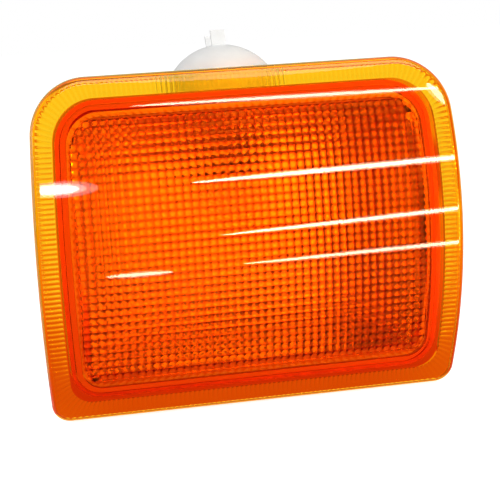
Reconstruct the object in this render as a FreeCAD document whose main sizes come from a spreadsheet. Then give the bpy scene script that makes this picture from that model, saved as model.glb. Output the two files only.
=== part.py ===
import FreeCAD, Part
import math
import os
import re

import Sketcher

# Vehicle indicator lamp: a curved amber lens over a white housing, with the bulb set in from above
# through a twist-lock holder. Millimetres. The lens faces -Y, +Z is up, and the origin is midway
# between the two rear fixing screws on their seating plane.

# Driving sizes: every one is a plain number in the sheet, and every feature is bound to these cells.
SIZES = {
    # Lens: front outline, front curve, and its walls
    "lens_width": 180.0,
    "lens_height": 142.0,
    "side_radius": 700.0,
    "lens_top_radius": 24.0,
    "lens_bottom_radius": 8.0,
    "front_radius": 198.0,
    "front_depth": 72.0,
    "lens_wall": 2.0,
    "rim_depth": 4.0,
    "rim_wall": 2.0,
    "edge_round": 3.0,
    "rim_width": 12.0,
    "skirt_wall": 2.2,
    "skirt_depth": 9.0,
    "inner_top_radius": 14.0,
    "inner_bottom_radius": 9.0,
    # Prism field and border ribs on the inner face of the lens
    "prism_pitch": 3.2,
    "prism_height": 1.0,
    "prism_columns": 46.0,
    "prism_rows": 34.0,
    "prism_step": 0.9,
    "prism_margin": 0.5,
    "rib_pitch": 2.0,
    "rib_height": 0.36,
    "rib_step": 0.15,
    "rib_end_gap": 0.4,
    "optic_root": 0.9,
    # Seal bead and the housing groove that holds it
    "seal_height": 1.5,
    "seal_side_gap": 0.2,
    "groove_gap": 0.3,
    "lip_wall": 1.8,
    "lip_depth": 6.0,
    "flange_floor": 2.5,
    # Housing: straight wall, tapered tray, back plate
    "housing_wall": 2.0,
    "wall_front_depth": 5.0,
    "tray_front": 44.0,
    "tray_back": 10.0,
    "tray_side_taper": 26.0,
    "back_corner_radius": 10.0,
    # Collar that takes the bulb holder, square to the sloping top wall
    "bulb_tilt": 65.0,
    "focus_depth": 32.0,
    "focus_height": 21.0,
    "collar_radius": 21.0,
    "collar_bore": 16.0,
    "collar_rise": 5.6,
    "notch_radius": 18.6,
    "notch_width": 8.0,
    # Rear fixing: two bosses with threaded inserts
    "fixing_spacing": 76.0,
    "boss_radius": 8.0,
    "insert_radius": 4.0,
    "insert_length": 8.0,
    "insert_hole_radius": 2.1,
    # Breather on the back plate
    "vent_drop": 28.0,
    "vent_radius": 3.5,
    "vent_bore": 2.0,
    "vent_length": 7.0,
    "vent_cap_radius": 5.6,
    "vent_cap_length": 8.6,
    "vent_cap_gap": 0.1,
    # Reflector insert
    "reflector_gap": 0.4,
    "reflector_wall": 1.4,
    "reflector_front_depth": 8.0,
    "reflector_hole": 19.0,
    # Bulb holder, lengths along its own axis from the light centre
    "neck_radius": 15.5,
    "neck_inside": 13.3,
    "neck_reach": 5.4,
    "holder_seal_height": 1.5,
    "holder_seal_wall": 2.2,
    "holder_flange": 2.5,
    "holder_radius": 26.0,
    "tower_radius": 11.4,
    "tower_end": 49.0,
    "tower_web": 2.6,
    "tower_front": 26.0,
    "tower_root": 0.6,
    "lug_radius": 18.0,
    "lug_width": 7.0,
    "lug_height": 2.7,
    "lug_gap": 0.3,
    "cap_wall": 1.8,
    # Lamp socket
    "sleeve_radius": 8.5,
    "sleeve_wall": 0.6,
    "sleeve_gap": 0.1,
    "sleeve_start": 24.0,
    "sleeve_end": 42.0,
    "slot_width": 2.4,
    "slot_offset": 3.1,
    "slot_seat": 30.6,
    "slot_end": 34.6,
    "disc_radius": 7.5,
    "disc_start": 38.9,
    "disc_thickness": 1.9,
    "rivet_head_radius": 2.2,
    "rivet_head": 0.5,
    "rivet_radius": 1.2,
    "rivet_gap": 0.05,
    "rivet_tail": 0.6,
    "spring_radius": 5.2,
    "spring_wire": 0.4,
    "spring_turns": 3.0,
    "foot_radius": 6.5,
    "blade_width": 6.3,
    "blade_thickness": 0.8,
    "blade_gap": 0.1,
    "live_offset": 4.0,
    "live_end": 68.5,
    "earth_start": 37.2,
    "earth_end": 66.0,
    # Bulb, lengths along the holder axis from the light centre
    "bulb_radius": 13.2,
    "bulb_centre": 1.5,
    "bulb_wall": 0.8,
    "bulb_neck": 9.0,
    "bulb_neck_radius": 6.9,
    "bulb_shoulder": 14.0,
    "bulb_glass_end": 20.0,
    "base_radius": 7.6,
    "base_wall": 0.6,
    "base_end": 36.6,
    "base_mouth": 5.2,
    "pin_radius": 1.0,
    "pin_reach": 8.5,
    "pin_height": 31.8,
    "insulator_gap": 0.1,
    "insulator_end": 37.4,
    "contact_radius": 2.0,
    "contact_end": 38.4,
    "stem_radius": 2.6,
    "stem_start": 8.0,
    "stem_gap": 0.2,
    "support_radius": 0.3,
    "support_offset": 2.05,
    "support_end": 0.9,
    "filament_radius": 0.6,
    "filament_wire": 0.12,
    "filament_length": 3.2,
    "filament_turns": 6.0,
}

doc = FreeCAD.newDocument("indicator_lamp")
sheet = doc.addObject("Spreadsheet::Sheet", "Sheet")
for row, (alias, size) in enumerate(SIZES.items(), 1):
    sheet.set("A%d" % row, alias)
    sheet.set("B%d" % row, str(size))
    sheet.setAlias("B%d" % row, alias)
doc.recompute()

NAME = re.compile(r"[a-z][a-z_0-9]*")


def linked(expression):
    """Point every size name in an expression at its cell."""
    return NAME.sub(lambda m: "Sheet." + m.group() if m.group() in SIZES else m.group(), expression)


def number(expression):
    """Value of an expression of sizes."""
    return float(sheet.evalExpression(linked(expression)))


def bind(thing, **places):
    """Bind properties of an object to expressions; a double underscore stands for a dot."""
    for place, expression in places.items():
        thing.setExpression(place.replace("__", "."), linked(expression))


# Sketches


def fix(sketch, constraint, expression):
    """Add a dimension to a sketch and bind it to an expression."""
    index = sketch.addConstraint(constraint)
    sketch.renameConstraint(index, "size_%d" % index)
    sketch.setExpression("Constraints.size_%d" % index, linked(expression))


def outline(name, half_width, top, bottom, top_radius, bottom_radius, depth="0"):
    """Front outline in a plane across Y: flat top and bottom, bowed sides, four round corners."""
    sketch = doc.addObject("Sketcher::SketchObject", name)
    sketch.Placement = FreeCAD.Placement(
        FreeCAD.Vector(0, 0, 0), FreeCAD.Rotation(FreeCAD.Vector(1, 0, 0), 90)
    )
    bind(sketch, Placement__Base__y="-(%s)" % depth)
    width, high, low = number(half_width), number(top), number(bottom)
    round_high, round_low, bow = number(top_radius), number(bottom_radius), number("side_radius")
    middle = width - bow
    high_x = middle + math.sqrt((bow - round_high) ** 2 - (high - round_high) ** 2)
    low_x = middle + math.sqrt((bow - round_low) ** 2 - (low + round_low) ** 2)
    high_turn = math.atan2(high - round_high, high_x - middle)
    low_turn = math.atan2(low + round_low, low_x - middle)
    half = math.pi

    def arc(x, z, radius, start, end):
        circle = Part.Circle(FreeCAD.Vector(x, z, 0), FreeCAD.Vector(0, 0, 1), radius)
        return Part.ArcOfCircle(circle, start, end)

    def line(x_from, x_to, z):
        return Part.LineSegment(FreeCAD.Vector(x_from, z, 0), FreeCAD.Vector(x_to, z, 0))

    sketch.addGeometry(
        [
            arc(middle, 0, bow, low_turn, high_turn),
            arc(high_x, high - round_high, round_high, high_turn, half / 2),
            line(high_x, -high_x, high),
            arc(-high_x, high - round_high, round_high, half / 2, half - high_turn),
            arc(-middle, 0, bow, half - high_turn, half - low_turn),
            arc(-low_x, low + round_low, round_low, half - low_turn, 1.5 * half),
            line(-low_x, low_x, low),
            arc(low_x, low + round_low, round_low, 1.5 * half, 2 * half + low_turn),
        ],
        False,
    )
    for edge in range(8):
        sketch.addConstraint(Sketcher.Constraint("Tangent", edge, 2, (edge + 1) % 8, 1))
    for edge in (2, 6):
        sketch.addConstraint(Sketcher.Constraint("Horizontal", edge))
    for edge, radius in ((0, "side_radius"), (4, "side_radius"), (1, top_radius), (3, top_radius),
                         (5, bottom_radius), (7, bottom_radius)):
        fix(sketch, Sketcher.Constraint("Radius", edge, number(radius)), radius)
    fix(sketch, Sketcher.Constraint("DistanceY", 2, 1, high), top)
    fix(sketch, Sketcher.Constraint("DistanceY", 6, 1, low), bottom)
    for edge, sign in ((0, ""), (4, "-")):
        sketch.addConstraint(Sketcher.Constraint("PointOnObject", edge, 3, -1))
        place = "%s(%s - side_radius)" % (sign, half_width)
        fix(sketch, Sketcher.Constraint("DistanceX", edge, 3, number(place)), place)
    return sketch


def lens_outline(name, inset, top_radius, bottom_radius, depth="0"):
    """Front outline set in from the edge of the lens by a distance."""
    return outline(
        name,
        "lens_width / 2 - (%s)" % inset,
        "lens_height / 2 - (%s)" % inset,
        "-(lens_height / 2 - (%s))" % inset,
        top_radius,
        bottom_radius,
        depth,
    )


def polygon(sketch, corners, arcs=None):
    """Closed profile through corners given as expressions; arcs gives an edge its centre and radius."""
    arcs = arcs or {}
    count = len(corners)
    points = [FreeCAD.Vector(number(x), number(y), 0) for x, y in corners]
    for edge in range(count):
        start, end = points[edge], points[(edge + 1) % count]
        if edge in arcs:
            centre = FreeCAD.Vector(number(arcs[edge][0]), number(arcs[edge][1]), 0)
            turn_start = math.atan2(start.y - centre.y, start.x - centre.x)
            turn_end = math.atan2(end.y - centre.y, end.x - centre.x)
            circle = Part.Circle(centre, FreeCAD.Vector(0, 0, 1), number(arcs[edge][2]))
            if arcs[edge][3:] == ("back",):
                turn_start, turn_end = turn_end, turn_start
            sketch.addGeometry(Part.ArcOfCircle(circle, turn_start, turn_end), False)
        else:
            sketch.addGeometry(Part.LineSegment(start, end), False)

    def is_back(edge):
        return edge in arcs and arcs[edge][3:] == ("back",)

    for edge in range(count):
        after = (edge + 1) % count
        end = 1 if is_back(edge) else 2
        start = 2 if is_back(after) else 1
        sketch.addConstraint(Sketcher.Constraint("Coincident", edge, end, after, start))
    for edge, (x, y) in enumerate(corners):
        start = 2 if is_back(edge) else 1
        if x == "0":
            sketch.addConstraint(Sketcher.Constraint("PointOnObject", edge, start, -2))
        else:
            fix(sketch, Sketcher.Constraint("DistanceX", edge, start, number(x)), x)
        fix(sketch, Sketcher.Constraint("DistanceY", edge, start, number(y)), y)
    for edge, arc in arcs.items():
        fix(sketch, Sketcher.Constraint("Radius", edge, number(arc[2])), arc[2])
    return sketch


# Solids worked with the outlines


def prism(name, section, length="front_depth + 1"):
    """Outline carried forward from its plane to beyond the front of the lens."""
    solid = doc.addObject("Part::Extrusion", name)
    solid.Base = section
    solid.DirMode = "Normal"
    solid.Solid = True
    bind(solid, LengthFwd=length)
    return solid


def drum(name, depth):
    """Cylinder across X, coaxial with the front curve and a distance behind it."""
    solid = doc.addObject("Part::Cylinder", name)
    solid.Placement = FreeCAD.Placement(
        FreeCAD.Vector(0, 0, 0), FreeCAD.Rotation(FreeCAD.Vector(0, 1, 0), 90)
    )
    bind(
        solid,
        Radius="front_radius - (%s)" % depth,
        Height="lens_width + 20",
        Placement__Base__x="-(lens_width + 20) / 2",
        Placement__Base__y="front_radius - front_depth",
    )
    return solid


def taper(name, front, back):
    """Straight-sided loft between two outlines."""
    solid = doc.addObject("Part::Loft", name)
    solid.Sections = [front, back]
    solid.Solid = True
    solid.Ruled = True
    return solid


def joined(name, *shapes):
    """Union of solids."""
    solid = doc.addObject("Part::MultiFuse", name)
    solid.Shapes = list(shapes)
    solid.Refine = True
    return solid


def shared(name, first, second):
    """Volume two solids have in common."""
    solid = doc.addObject("Part::MultiCommon", name)
    solid.Shapes = [first, second]
    return solid


def less(name, base, tool):
    """One solid with another taken out of it."""
    solid = doc.addObject("Part::Cut", name)
    solid.Base = base
    solid.Tool = tool
    return solid


def on_bulb_axis(thing, along="0"):
    """Stand an object's own Z axis on the bulb axis, a distance along it from the light centre."""
    thing.Placement = FreeCAD.Placement(
        FreeCAD.Vector(0, 0, 0), FreeCAD.Rotation(FreeCAD.Vector(1, 0, 0), -10)
    )
    bind(
        thing,
        Placement__Base__y="-focus_depth + (%s) * cos(bulb_tilt * 1 deg)" % along,
        Placement__Base__z="focus_height + (%s) * sin(bulb_tilt * 1 deg)" % along,
        Placement__Rotation__Angle="(bulb_tilt - 90) * 1 deg",
    )
    return thing


def axis_rod(name, radius, start, end):
    """Cylinder on the bulb axis."""
    solid = doc.addObject("Part::Cylinder", name)
    bind(solid, Radius=radius, Height="(%s) - (%s)" % (end, start))
    return on_bulb_axis(solid, start)


def back_rod(name, radius, x, z, start, end):
    """Cylinder along +Y between two distances from the seating plane."""
    solid = doc.addObject("Part::Cylinder", name)
    solid.Placement = FreeCAD.Placement(
        FreeCAD.Vector(0, 0, 0), FreeCAD.Rotation(FreeCAD.Vector(1, 0, 0), -90)
    )
    bind(
        solid,
        Radius=radius,
        Height="(%s) - (%s)" % (end, start),
        Placement__Base__x=x,
        Placement__Base__y=start,
        Placement__Base__z=z,
    )
    return solid


# Solids made as bodies


def base_plane(body, role):
    """Origin plane of a body."""
    return [feature for feature in body.Origin.OriginFeatures if feature.Role == role][0]


def body_sketch(body, name, role, offset=None):
    """Empty sketch on an origin plane of a body, moved along the plane's normal."""
    sketch = body.newObject("Sketcher::SketchObject", name)
    sketch.AttachmentSupport = (base_plane(body, role), [""])
    sketch.MapMode = "FlatFace"
    if offset is not None:
        bind(sketch, AttachmentOffset__Base__z=offset)
    return sketch


def turned(name, corners, arcs=None):
    """Body turned about its own Z axis from a half profile of (radius, height) corners."""
    body = doc.addObject("PartDesign::Body", name)
    sketch = polygon(body_sketch(body, name + "_profile", "XZ_Plane"), corners, arcs)
    solid = body.newObject("PartDesign::Revolution", name + "_turning")
    solid.Profile = sketch
    solid.ReferenceAxis = (sketch, ["V_Axis"])
    solid.Angle = 360
    body.Tip = solid
    doc.recompute()
    return body


def worked(body, kind, name, role, offset, length, corners, both_ways=False, flip=False):
    """Pad or pocket of a polygon on a body's plane."""
    sketch = polygon(body_sketch(body, name + "_sketch", role, offset), corners)
    feature = body.newObject("PartDesign::" + kind, name)
    feature.Profile = sketch
    feature.Reversed = flip
    if both_ways:
        feature.SideType = "Symmetric"
    bind(feature, Length=length)
    body.Tip = feature
    doc.recompute()
    return feature


def around(body, name, features, count):
    """Repeat features evenly round a body's Z axis."""
    pattern = body.newObject("PartDesign::PolarPattern", name)
    pattern.Originals = features
    axis = [feature for feature in body.Origin.OriginFeatures if feature.Role == "Z_Axis"][0]
    pattern.Axis = (axis, [""])
    pattern.Angle = 360
    body.Tip = pattern
    pattern.Occurrences = count
    doc.recompute()
    return pattern


def box_corners(x_from, x_to, y_from, y_to):
    """Corners of a rectangle."""
    return [(x_from, y_from), (x_to, y_from), (x_to, y_to), (x_from, y_to)]


# Lens: a curved plate with a turned-back rim, and a skirt that stands in the housing groove

SKIRT_INSET = "rim_width"
SKIRT_INSIDE = "rim_width + skirt_wall"
lens_edge = prism(
    "lens_edge",
    lens_outline("lens_edge_outline", "0", "lens_top_radius", "lens_bottom_radius"),
)
rim_inside = prism(
    "rim_inside",
    lens_outline("rim_inside_outline", "rim_wall", "lens_top_radius - rim_wall",
                 "lens_bottom_radius - rim_wall"),
)
skirt_outside = prism(
    "skirt_outside",
    lens_outline("skirt_outside_outline", SKIRT_INSET, "inner_top_radius + skirt_wall",
                 "inner_bottom_radius + skirt_wall"),
)
skirt_inside = prism(
    "skirt_inside",
    lens_outline("skirt_inside_outline", SKIRT_INSIDE, "inner_top_radius", "inner_bottom_radius"),
)
front_drum = drum("front_drum", "0")
wall_drum = drum("wall_drum", "lens_wall")
half_wall_drum = drum("half_wall_drum", "lens_wall / 2")
rim_drum = drum("rim_drum", "rim_depth")
skirt_drum = drum("skirt_drum", "skirt_depth")

lens_block = shared("lens_block", lens_edge, less("rim_band", front_drum, rim_drum))
doc.recompute()

front_edges = []
for index, edge in enumerate(lens_block.Shape.Edges, 1):
    spots = [edge.valueAt(edge.FirstParameter + share * (edge.LastParameter - edge.FirstParameter))
             for share in (0.0, 0.5, 1.0)]
    axis_y = number("front_radius - front_depth")
    if all(abs(math.hypot(spot.y - axis_y, spot.z) - number("front_radius")) < 0.001 for spot in spots):
        front_edges.append(index)
lens_rounded = doc.addObject("Part::Fillet", "lens_rounded")
lens_rounded.Base = lens_block
lens_rounded.Edges = [(index, number("edge_round"), number("edge_round")) for index in front_edges]

lens_tray = less("lens_tray", lens_rounded, shared("rim_hollow", rim_inside, wall_drum))
lens_skirt = shared(
    "lens_skirt",
    less("skirt_ring", skirt_outside, skirt_inside),
    less("skirt_band", half_wall_drum, skirt_drum),
)
lens_plain = joined("lens_plain", lens_tray, lens_skirt)

# Optics moulded on the inner face of the lens, as closed faceted solids rooted in its wall


def behind_front(x, z, depth):
    """Point at a front-view place, a distance behind the front curve along its normal."""
    radius = number("front_radius")
    wall = radius - number("lens_wall")
    turn = math.asin(z / wall)
    reach = radius - depth
    return FreeCAD.Vector(x, radius - number("front_depth") - reach * math.cos(turn), reach * math.sin(turn))


def facet(*points):
    """Flat face through corner points."""
    return Part.Face(Part.makePolygon(list(points) + [points[0]]))


def faceted(name, faces):
    """Closed solid from its flat faces."""
    solid = Part.Solid(Part.Shell(faces))
    if solid.Volume < 0:
        solid.reverse()
    feature = doc.addObject("Part::Feature", name)
    feature.Shape = solid
    return feature


def in_field(x, z):
    """True inside the round-cornered window that the skirt leaves for the prisms."""
    margin = number("rim_width + skirt_wall + prism_margin")
    half_width = number("lens_width") / 2 - margin
    half_height = number("lens_height") / 2 - margin
    corner = number("inner_top_radius" if z > 0 else "inner_bottom_radius") - number("prism_margin")
    over_x = abs(x) - (half_width - corner)
    over_z = abs(z) - (half_height - corner)
    if over_x > 0 and over_z > 0:
        return math.hypot(over_x, over_z) < corner
    return abs(x) < half_width and abs(z) < half_height


def prism_field():
    """Square pyramids in rows and columns that follow the inner curve, as a list of faces."""
    pitch = number("prism_pitch")
    columns, rows = int(number("prism_columns")), int(number("prism_rows"))
    base = number("lens_wall + prism_step")
    peak = number("lens_wall + prism_step + prism_height")
    root = number("lens_wall - optic_root")
    wall = number("front_radius - lens_wall")
    xs = [(column - columns / 2) * pitch for column in range(columns + 1)]
    zs = [wall * math.sin((row - rows / 2) * pitch / wall) for row in range(rows + 1)]
    cells = [
        (column, row)
        for column in range(columns)
        for row in range(rows)
        if all(in_field(xs[column + i], zs[row + j]) for i in (0, 1) for j in (0, 1))
    ]
    sides = {}
    faces = []
    for column, row in cells:
        ring = [(column, row), (column + 1, row), (column + 1, row + 1), (column, row + 1)]
        corners = [behind_front(xs[i], zs[j], base) for i, j in ring]
        feet = [behind_front(xs[i], zs[j], root) for i, j in ring]
        middle_z = wall * math.sin((row + 0.5 - rows / 2) * pitch / wall)
        apex = behind_front((xs[column] + xs[column + 1]) / 2, middle_z, peak)
        faces.append(facet(*feet))
        for side in range(4):
            after = (side + 1) % 4
            faces.append(facet(corners[side], corners[after], apex))
            key = tuple(sorted((ring[side], ring[after])))
            quad = facet(corners[side], corners[after], feet[after], feet[side])
            sides[key] = None if key in sides else quad
    return faces + [quad for quad in sides.values() if quad is not None]


def border_walk(part):
    """Places along the border as functions of the inset: the bottom, or the other edges and corners."""
    half_width, half_height = number("lens_width") / 2, number("lens_height") / 2
    bow, corner = number("side_radius"), number("lens_top_radius")
    pitch, clear = number("rib_pitch"), number("rim_width")
    middle = half_width - bow
    corner_x = middle + math.sqrt((bow - corner) ** 2 - (half_height - corner) ** 2)
    turn = math.atan2(half_height - corner, corner_x - middle)
    low = -math.asin((half_height - clear) / bow)

    def steps(length):
        return 2 * max(2, round(length / pitch))

    if part == "bottom":
        reach = half_width - number("lens_bottom_radius") - clear / 2
        count = steps(2 * reach)
        return [lambda d, s=share / count: (reach * (2 * s - 1), d - half_height)
                for share in range(count + 1)]

    def side(angle):
        return lambda d: (middle + (bow - d) * math.cos(angle), (bow - d) * math.sin(angle))

    def bend(angle):
        return lambda d: (
            corner_x + (corner - d) * math.cos(angle),
            half_height - corner + (corner - d) * math.sin(angle),
        )

    side_count = steps(bow * (turn - low))
    bend_count = steps((corner - clear / 2) * (math.pi / 2 - turn))
    right = [side(low + (turn - low) * share / side_count) for share in range(side_count)]
    right += [bend(turn + (math.pi / 2 - turn) * share / bend_count) for share in range(bend_count)]
    top_count = steps(2 * corner_x)
    top = [lambda d, s=share / top_count: (corner_x * (1 - 2 * s), half_height - d)
           for share in range(top_count)]
    left = [lambda d, spot=spot: (-spot(d)[0], spot(d)[1]) for spot in right]
    left += [lambda d: (-corner_x, half_height - d)]
    return right + top + left[::-1]


def border_ribs(part):
    """Fine ridges square to the edge, standing between the rim wall and the skirt, as a list of faces."""
    outer, inner = number("rim_wall + rib_end_gap"), number("rim_width - rib_end_gap")
    valley = number("lens_wall + rib_step")
    levels = (valley, valley + number("rib_height"))
    root = number("lens_wall - optic_root")
    strip = []
    for index, spot in enumerate(border_walk(part)):
        strip.append(
            [behind_front(*spot(inset), depth)
             for depth in (levels[index % 2], root) for inset in (outer, inner)]
        )
    faces = []
    for (a, b, c, d), (e, f, g, h) in zip(strip, strip[1:]):
        for first, second, third, fourth in ((a, e, f, b), (c, g, h, d), (a, e, g, c), (b, f, h, d)):
            faces += [facet(first, second, third), facet(first, third, fourth)]
    for a, b, c, d in (strip[0], strip[-1]):
        faces += [facet(a, b, d), facet(a, d, c)]
    return faces


lens = doc.addObject("Part::MultiFuse", "lens")
lens.Shapes = [
    lens_plain,
    faceted("prism_field", prism_field()),
    faceted("edge_ribs", border_ribs("edges")),
    faceted("bottom_ribs", border_ribs("bottom")),
]

# Seal bead between the end of the skirt and the floor of the groove

GROOVE_FLOOR = "skirt_depth + seal_height"
bead_outside = prism(
    "bead_outside",
    lens_outline("bead_outside_outline", "rim_width - seal_side_gap",
                 "inner_top_radius + skirt_wall + seal_side_gap",
                 "inner_bottom_radius + skirt_wall + seal_side_gap"),
)
bead_inside = prism(
    "bead_inside",
    lens_outline("bead_inside_outline", "rim_width + skirt_wall + seal_side_gap",
                 "inner_top_radius - seal_side_gap", "inner_bottom_radius - seal_side_gap"),
)
floor_drum = drum("floor_drum", GROOVE_FLOOR)
lens_seal = shared(
    "lens_seal",
    less("bead_ring", bead_outside, bead_inside),
    less("bead_band", skirt_drum, floor_drum),
)

# Housing: grooved flange, straight wall, tapered tray, collar for the holder, bosses and breather

GROOVE_INSET = "rim_width - groove_gap"
LIP_INSET = "rim_width - groove_gap - lip_wall"
WALL_INSET = "rim_width + skirt_wall + groove_gap"
ROOM_INSET = WALL_INSET + " + housing_wall"
BACK_FACE = "tray_back - housing_wall"


TOP_TAPER = "(tray_front - tray_back) / tan(bulb_tilt * 1 deg)"
WALL_INSIDE = (
    "(cos(bulb_tilt * 1 deg) * (focus_depth - tray_front)"
    " + sin(bulb_tilt * 1 deg) * (lens_height / 2 - (%s) - focus_height))" % ROOM_INSET
)
COLLAR_END = WALL_INSIDE + " + collar_rise"
NECK_START = WALL_INSIDE + " - neck_reach"


def back_outline(name, inset, radius, depth):
    """Outline of the small end of the tapered tray; its top wall lies square to the bulb axis."""
    top = "lens_height / 2 - (%s) - %s" % (inset, TOP_TAPER)
    side = "lens_width / 2 - (%s) - tray_side_taper" % inset
    return outline(name, side, top, "-(%s)" % top, radius, radius, depth)


lip_outside = prism(
    "lip_outside",
    lens_outline("lip_outline", LIP_INSET, "inner_top_radius + skirt_wall + groove_gap + lip_wall",
                 "inner_bottom_radius + skirt_wall + groove_gap + lip_wall"),
)
flange_block = shared(
    "flange_block",
    lip_outside,
    less("flange_band", drum("lip_drum", "lip_depth"),
         drum("flange_back_drum", GROOVE_FLOOR + " + flange_floor")),
)
wall_outline = lens_outline("wall_outline", WALL_INSET, "inner_top_radius - groove_gap",
                            "inner_bottom_radius - groove_gap", "tray_front")
wall_block = shared("wall_block", prism("wall_prism", wall_outline),
                    drum("wall_front_drum", "wall_front_depth"))
tray_block = taper("tray_block", wall_outline,
                   back_outline("tray_back_outline", WALL_INSET,
                                "back_corner_radius + housing_wall", BACK_FACE))
collar_block = axis_rod("collar_block", "collar_radius", NECK_START, COLLAR_END)
BOSS_ROOT = "-tray_back + housing_wall / 2"
boss_left = back_rod("boss_left", "boss_radius", "-fixing_spacing / 2", "0", BOSS_ROOT, "0")
boss_right = back_rod("boss_right", "boss_radius", "fixing_spacing / 2", "0", BOSS_ROOT, "0")
VENT_END = "-tray_back + housing_wall + vent_length"
vent_tube = back_rod("vent_tube", "vent_radius", "0", "-vent_drop", BOSS_ROOT, VENT_END)
housing_block = joined("housing_block", flange_block, wall_block, tray_block, collar_block,
                       boss_left, boss_right, vent_tube)

room_outline = lens_outline("room_outline", ROOM_INSET, "inner_top_radius - groove_gap - housing_wall",
                            "inner_bottom_radius - groove_gap - housing_wall", "tray_front")
room_front = prism("room_front", room_outline)
room_back = taper("room_back", room_outline,
                  back_outline("room_back_outline", ROOM_INSET, "back_corner_radius", "tray_back"))
groove_ring = less(
    "groove_ring",
    prism("groove_outside",
          lens_outline("groove_outside_outline", GROOVE_INSET, "inner_top_radius + skirt_wall + groove_gap",
                       "inner_bottom_radius + skirt_wall + groove_gap")),
    prism("groove_inside",
          lens_outline("groove_inside_outline", WALL_INSET, "inner_top_radius - groove_gap",
                       "inner_bottom_radius - groove_gap")),
)
groove = less("groove", groove_ring, floor_drum)
collar_hole = axis_rod("collar_hole", "collar_bore", NECK_START, COLLAR_END + " + 1")
notch = doc.addObject("Part::Box", "notch")
bind(notch, Length="notch_width", Width="2 * notch_radius", Height="collar_rise + 1 + neck_reach")
notch_slot = doc.addObject("Part::MultiCommon", "notch_slot")
notch_round = doc.addObject("Part::Cylinder", "notch_round")
bind(notch_round, Radius="notch_radius", Height="collar_rise + 1 + neck_reach")
bind(notch, Placement__Base__x="-notch_width / 2", Placement__Base__y="-notch_radius")
notch_slot.Shapes = [notch, notch_round]
on_bulb_axis(notch_slot, NECK_START)
pocket_left = back_rod("pocket_left", "insert_radius", "-fixing_spacing / 2", "0", "-insert_length", "1")
pocket_right = back_rod("pocket_right", "insert_radius", "fixing_spacing / 2", "0", "-insert_length", "1")
vent_hole = back_rod("vent_hole", "vent_bore", "0", "-vent_drop", "-tray_back - 1", VENT_END + " + 1")
housing = doc.addObject("Part::Cut", "housing")
housing.Base = housing_block
housing.Tool = joined("housing_room", room_front, room_back, groove, collar_hole, notch_slot, pocket_left,
                      pocket_right, vent_hole)
housing.Refine = True

# Reflector: bright insert that lines the tray and rests on its back plate

REFLECTOR_INSET = ROOM_INSET + " + reflector_gap"
BOWL_INSET = REFLECTOR_INSET + " + reflector_wall"
reflector_outline = lens_outline(
    "reflector_outline", REFLECTOR_INSET, "inner_top_radius - groove_gap - housing_wall - reflector_gap",
    "inner_bottom_radius - groove_gap - housing_wall - reflector_gap", "tray_front")
bowl_outline = lens_outline(
    "bowl_outline", BOWL_INSET,
    "inner_top_radius - groove_gap - housing_wall - reflector_gap - reflector_wall",
    "inner_bottom_radius - groove_gap - housing_wall - reflector_gap - reflector_wall", "tray_front")
reflector_drum = drum("reflector_drum", "reflector_front_depth")
reflector_block = joined(
    "reflector_block",
    shared("reflector_wall_block", prism("reflector_prism", reflector_outline), reflector_drum),
    taper("reflector_tray", reflector_outline,
          back_outline("reflector_back_outline", REFLECTOR_INSET, "back_corner_radius", "tray_back")),
)
bowl = joined(
    "bowl",
    prism("bowl_front", bowl_outline),
    taper("bowl_back", bowl_outline,
          back_outline("bowl_back_outline", BOWL_INSET, "back_corner_radius - reflector_wall",
                       "tray_back + reflector_wall")),
    axis_rod("reflector_opening", "reflector_hole", NECK_START, COLLAR_END + " + 6"),
)
reflector = less("reflector", reflector_block, bowl)
reflector.Refine = True

# Bulb holder: neck with two lugs, flange, and the tower that carries the socket

SEAL_END = COLLAR_END + " + holder_seal_height"
FLANGE_END = SEAL_END + " + holder_flange"
BORE = "sleeve_radius + sleeve_gap"
bulb_holder = turned(
    "bulb_holder",
    [
        (BORE, "tower_front"),
        ("tower_radius", "tower_front"),
        ("tower_radius", SEAL_END + " + tower_root"),
        ("neck_inside", SEAL_END + " + tower_root"),
        ("neck_inside", NECK_START),
        ("neck_radius", NECK_START),
        ("neck_radius", SEAL_END),
        ("holder_radius", SEAL_END),
        ("holder_radius", FLANGE_END),
        ("tower_radius", FLANGE_END),
        ("tower_radius", "tower_end"),
        ("0", "tower_end"),
        ("0", "tower_end - tower_web"),
        (BORE, "tower_end - tower_web"),
    ],
)
LUG_START = WALL_INSIDE + " - lug_gap - lug_height"
lug = worked(bulb_holder, "Pad", "lug", "XY_Plane", LUG_START, "lug_height",
             box_corners("neck_radius - (neck_radius - neck_inside) / 2", "lug_radius", "-lug_width / 2",
                         "lug_width / 2"))
around(bulb_holder, "lugs", [lug], 2)
SLOT_SIDE = "blade_width / 2 + blade_gap"
worked(bulb_holder, "Pocket", "live_slot", "XY_Plane", "tower_end", "tower_web + 1",
       box_corners("-(%s)" % SLOT_SIDE, SLOT_SIDE, "live_offset - blade_thickness / 2 - blade_gap",
                   "live_offset + blade_thickness / 2 + blade_gap"))
worked(bulb_holder, "Pocket", "earth_slot", "XY_Plane", "tower_end", "tower_end - earth_start + blade_gap",
       box_corners("-(%s)" % SLOT_SIDE, SLOT_SIDE, "-(sleeve_radius + blade_thickness + blade_gap)",
                   "-(sleeve_radius - blade_gap)"))
on_bulb_axis(bulb_holder)

# Domed cap over the tower, slotted for the two blades

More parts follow.
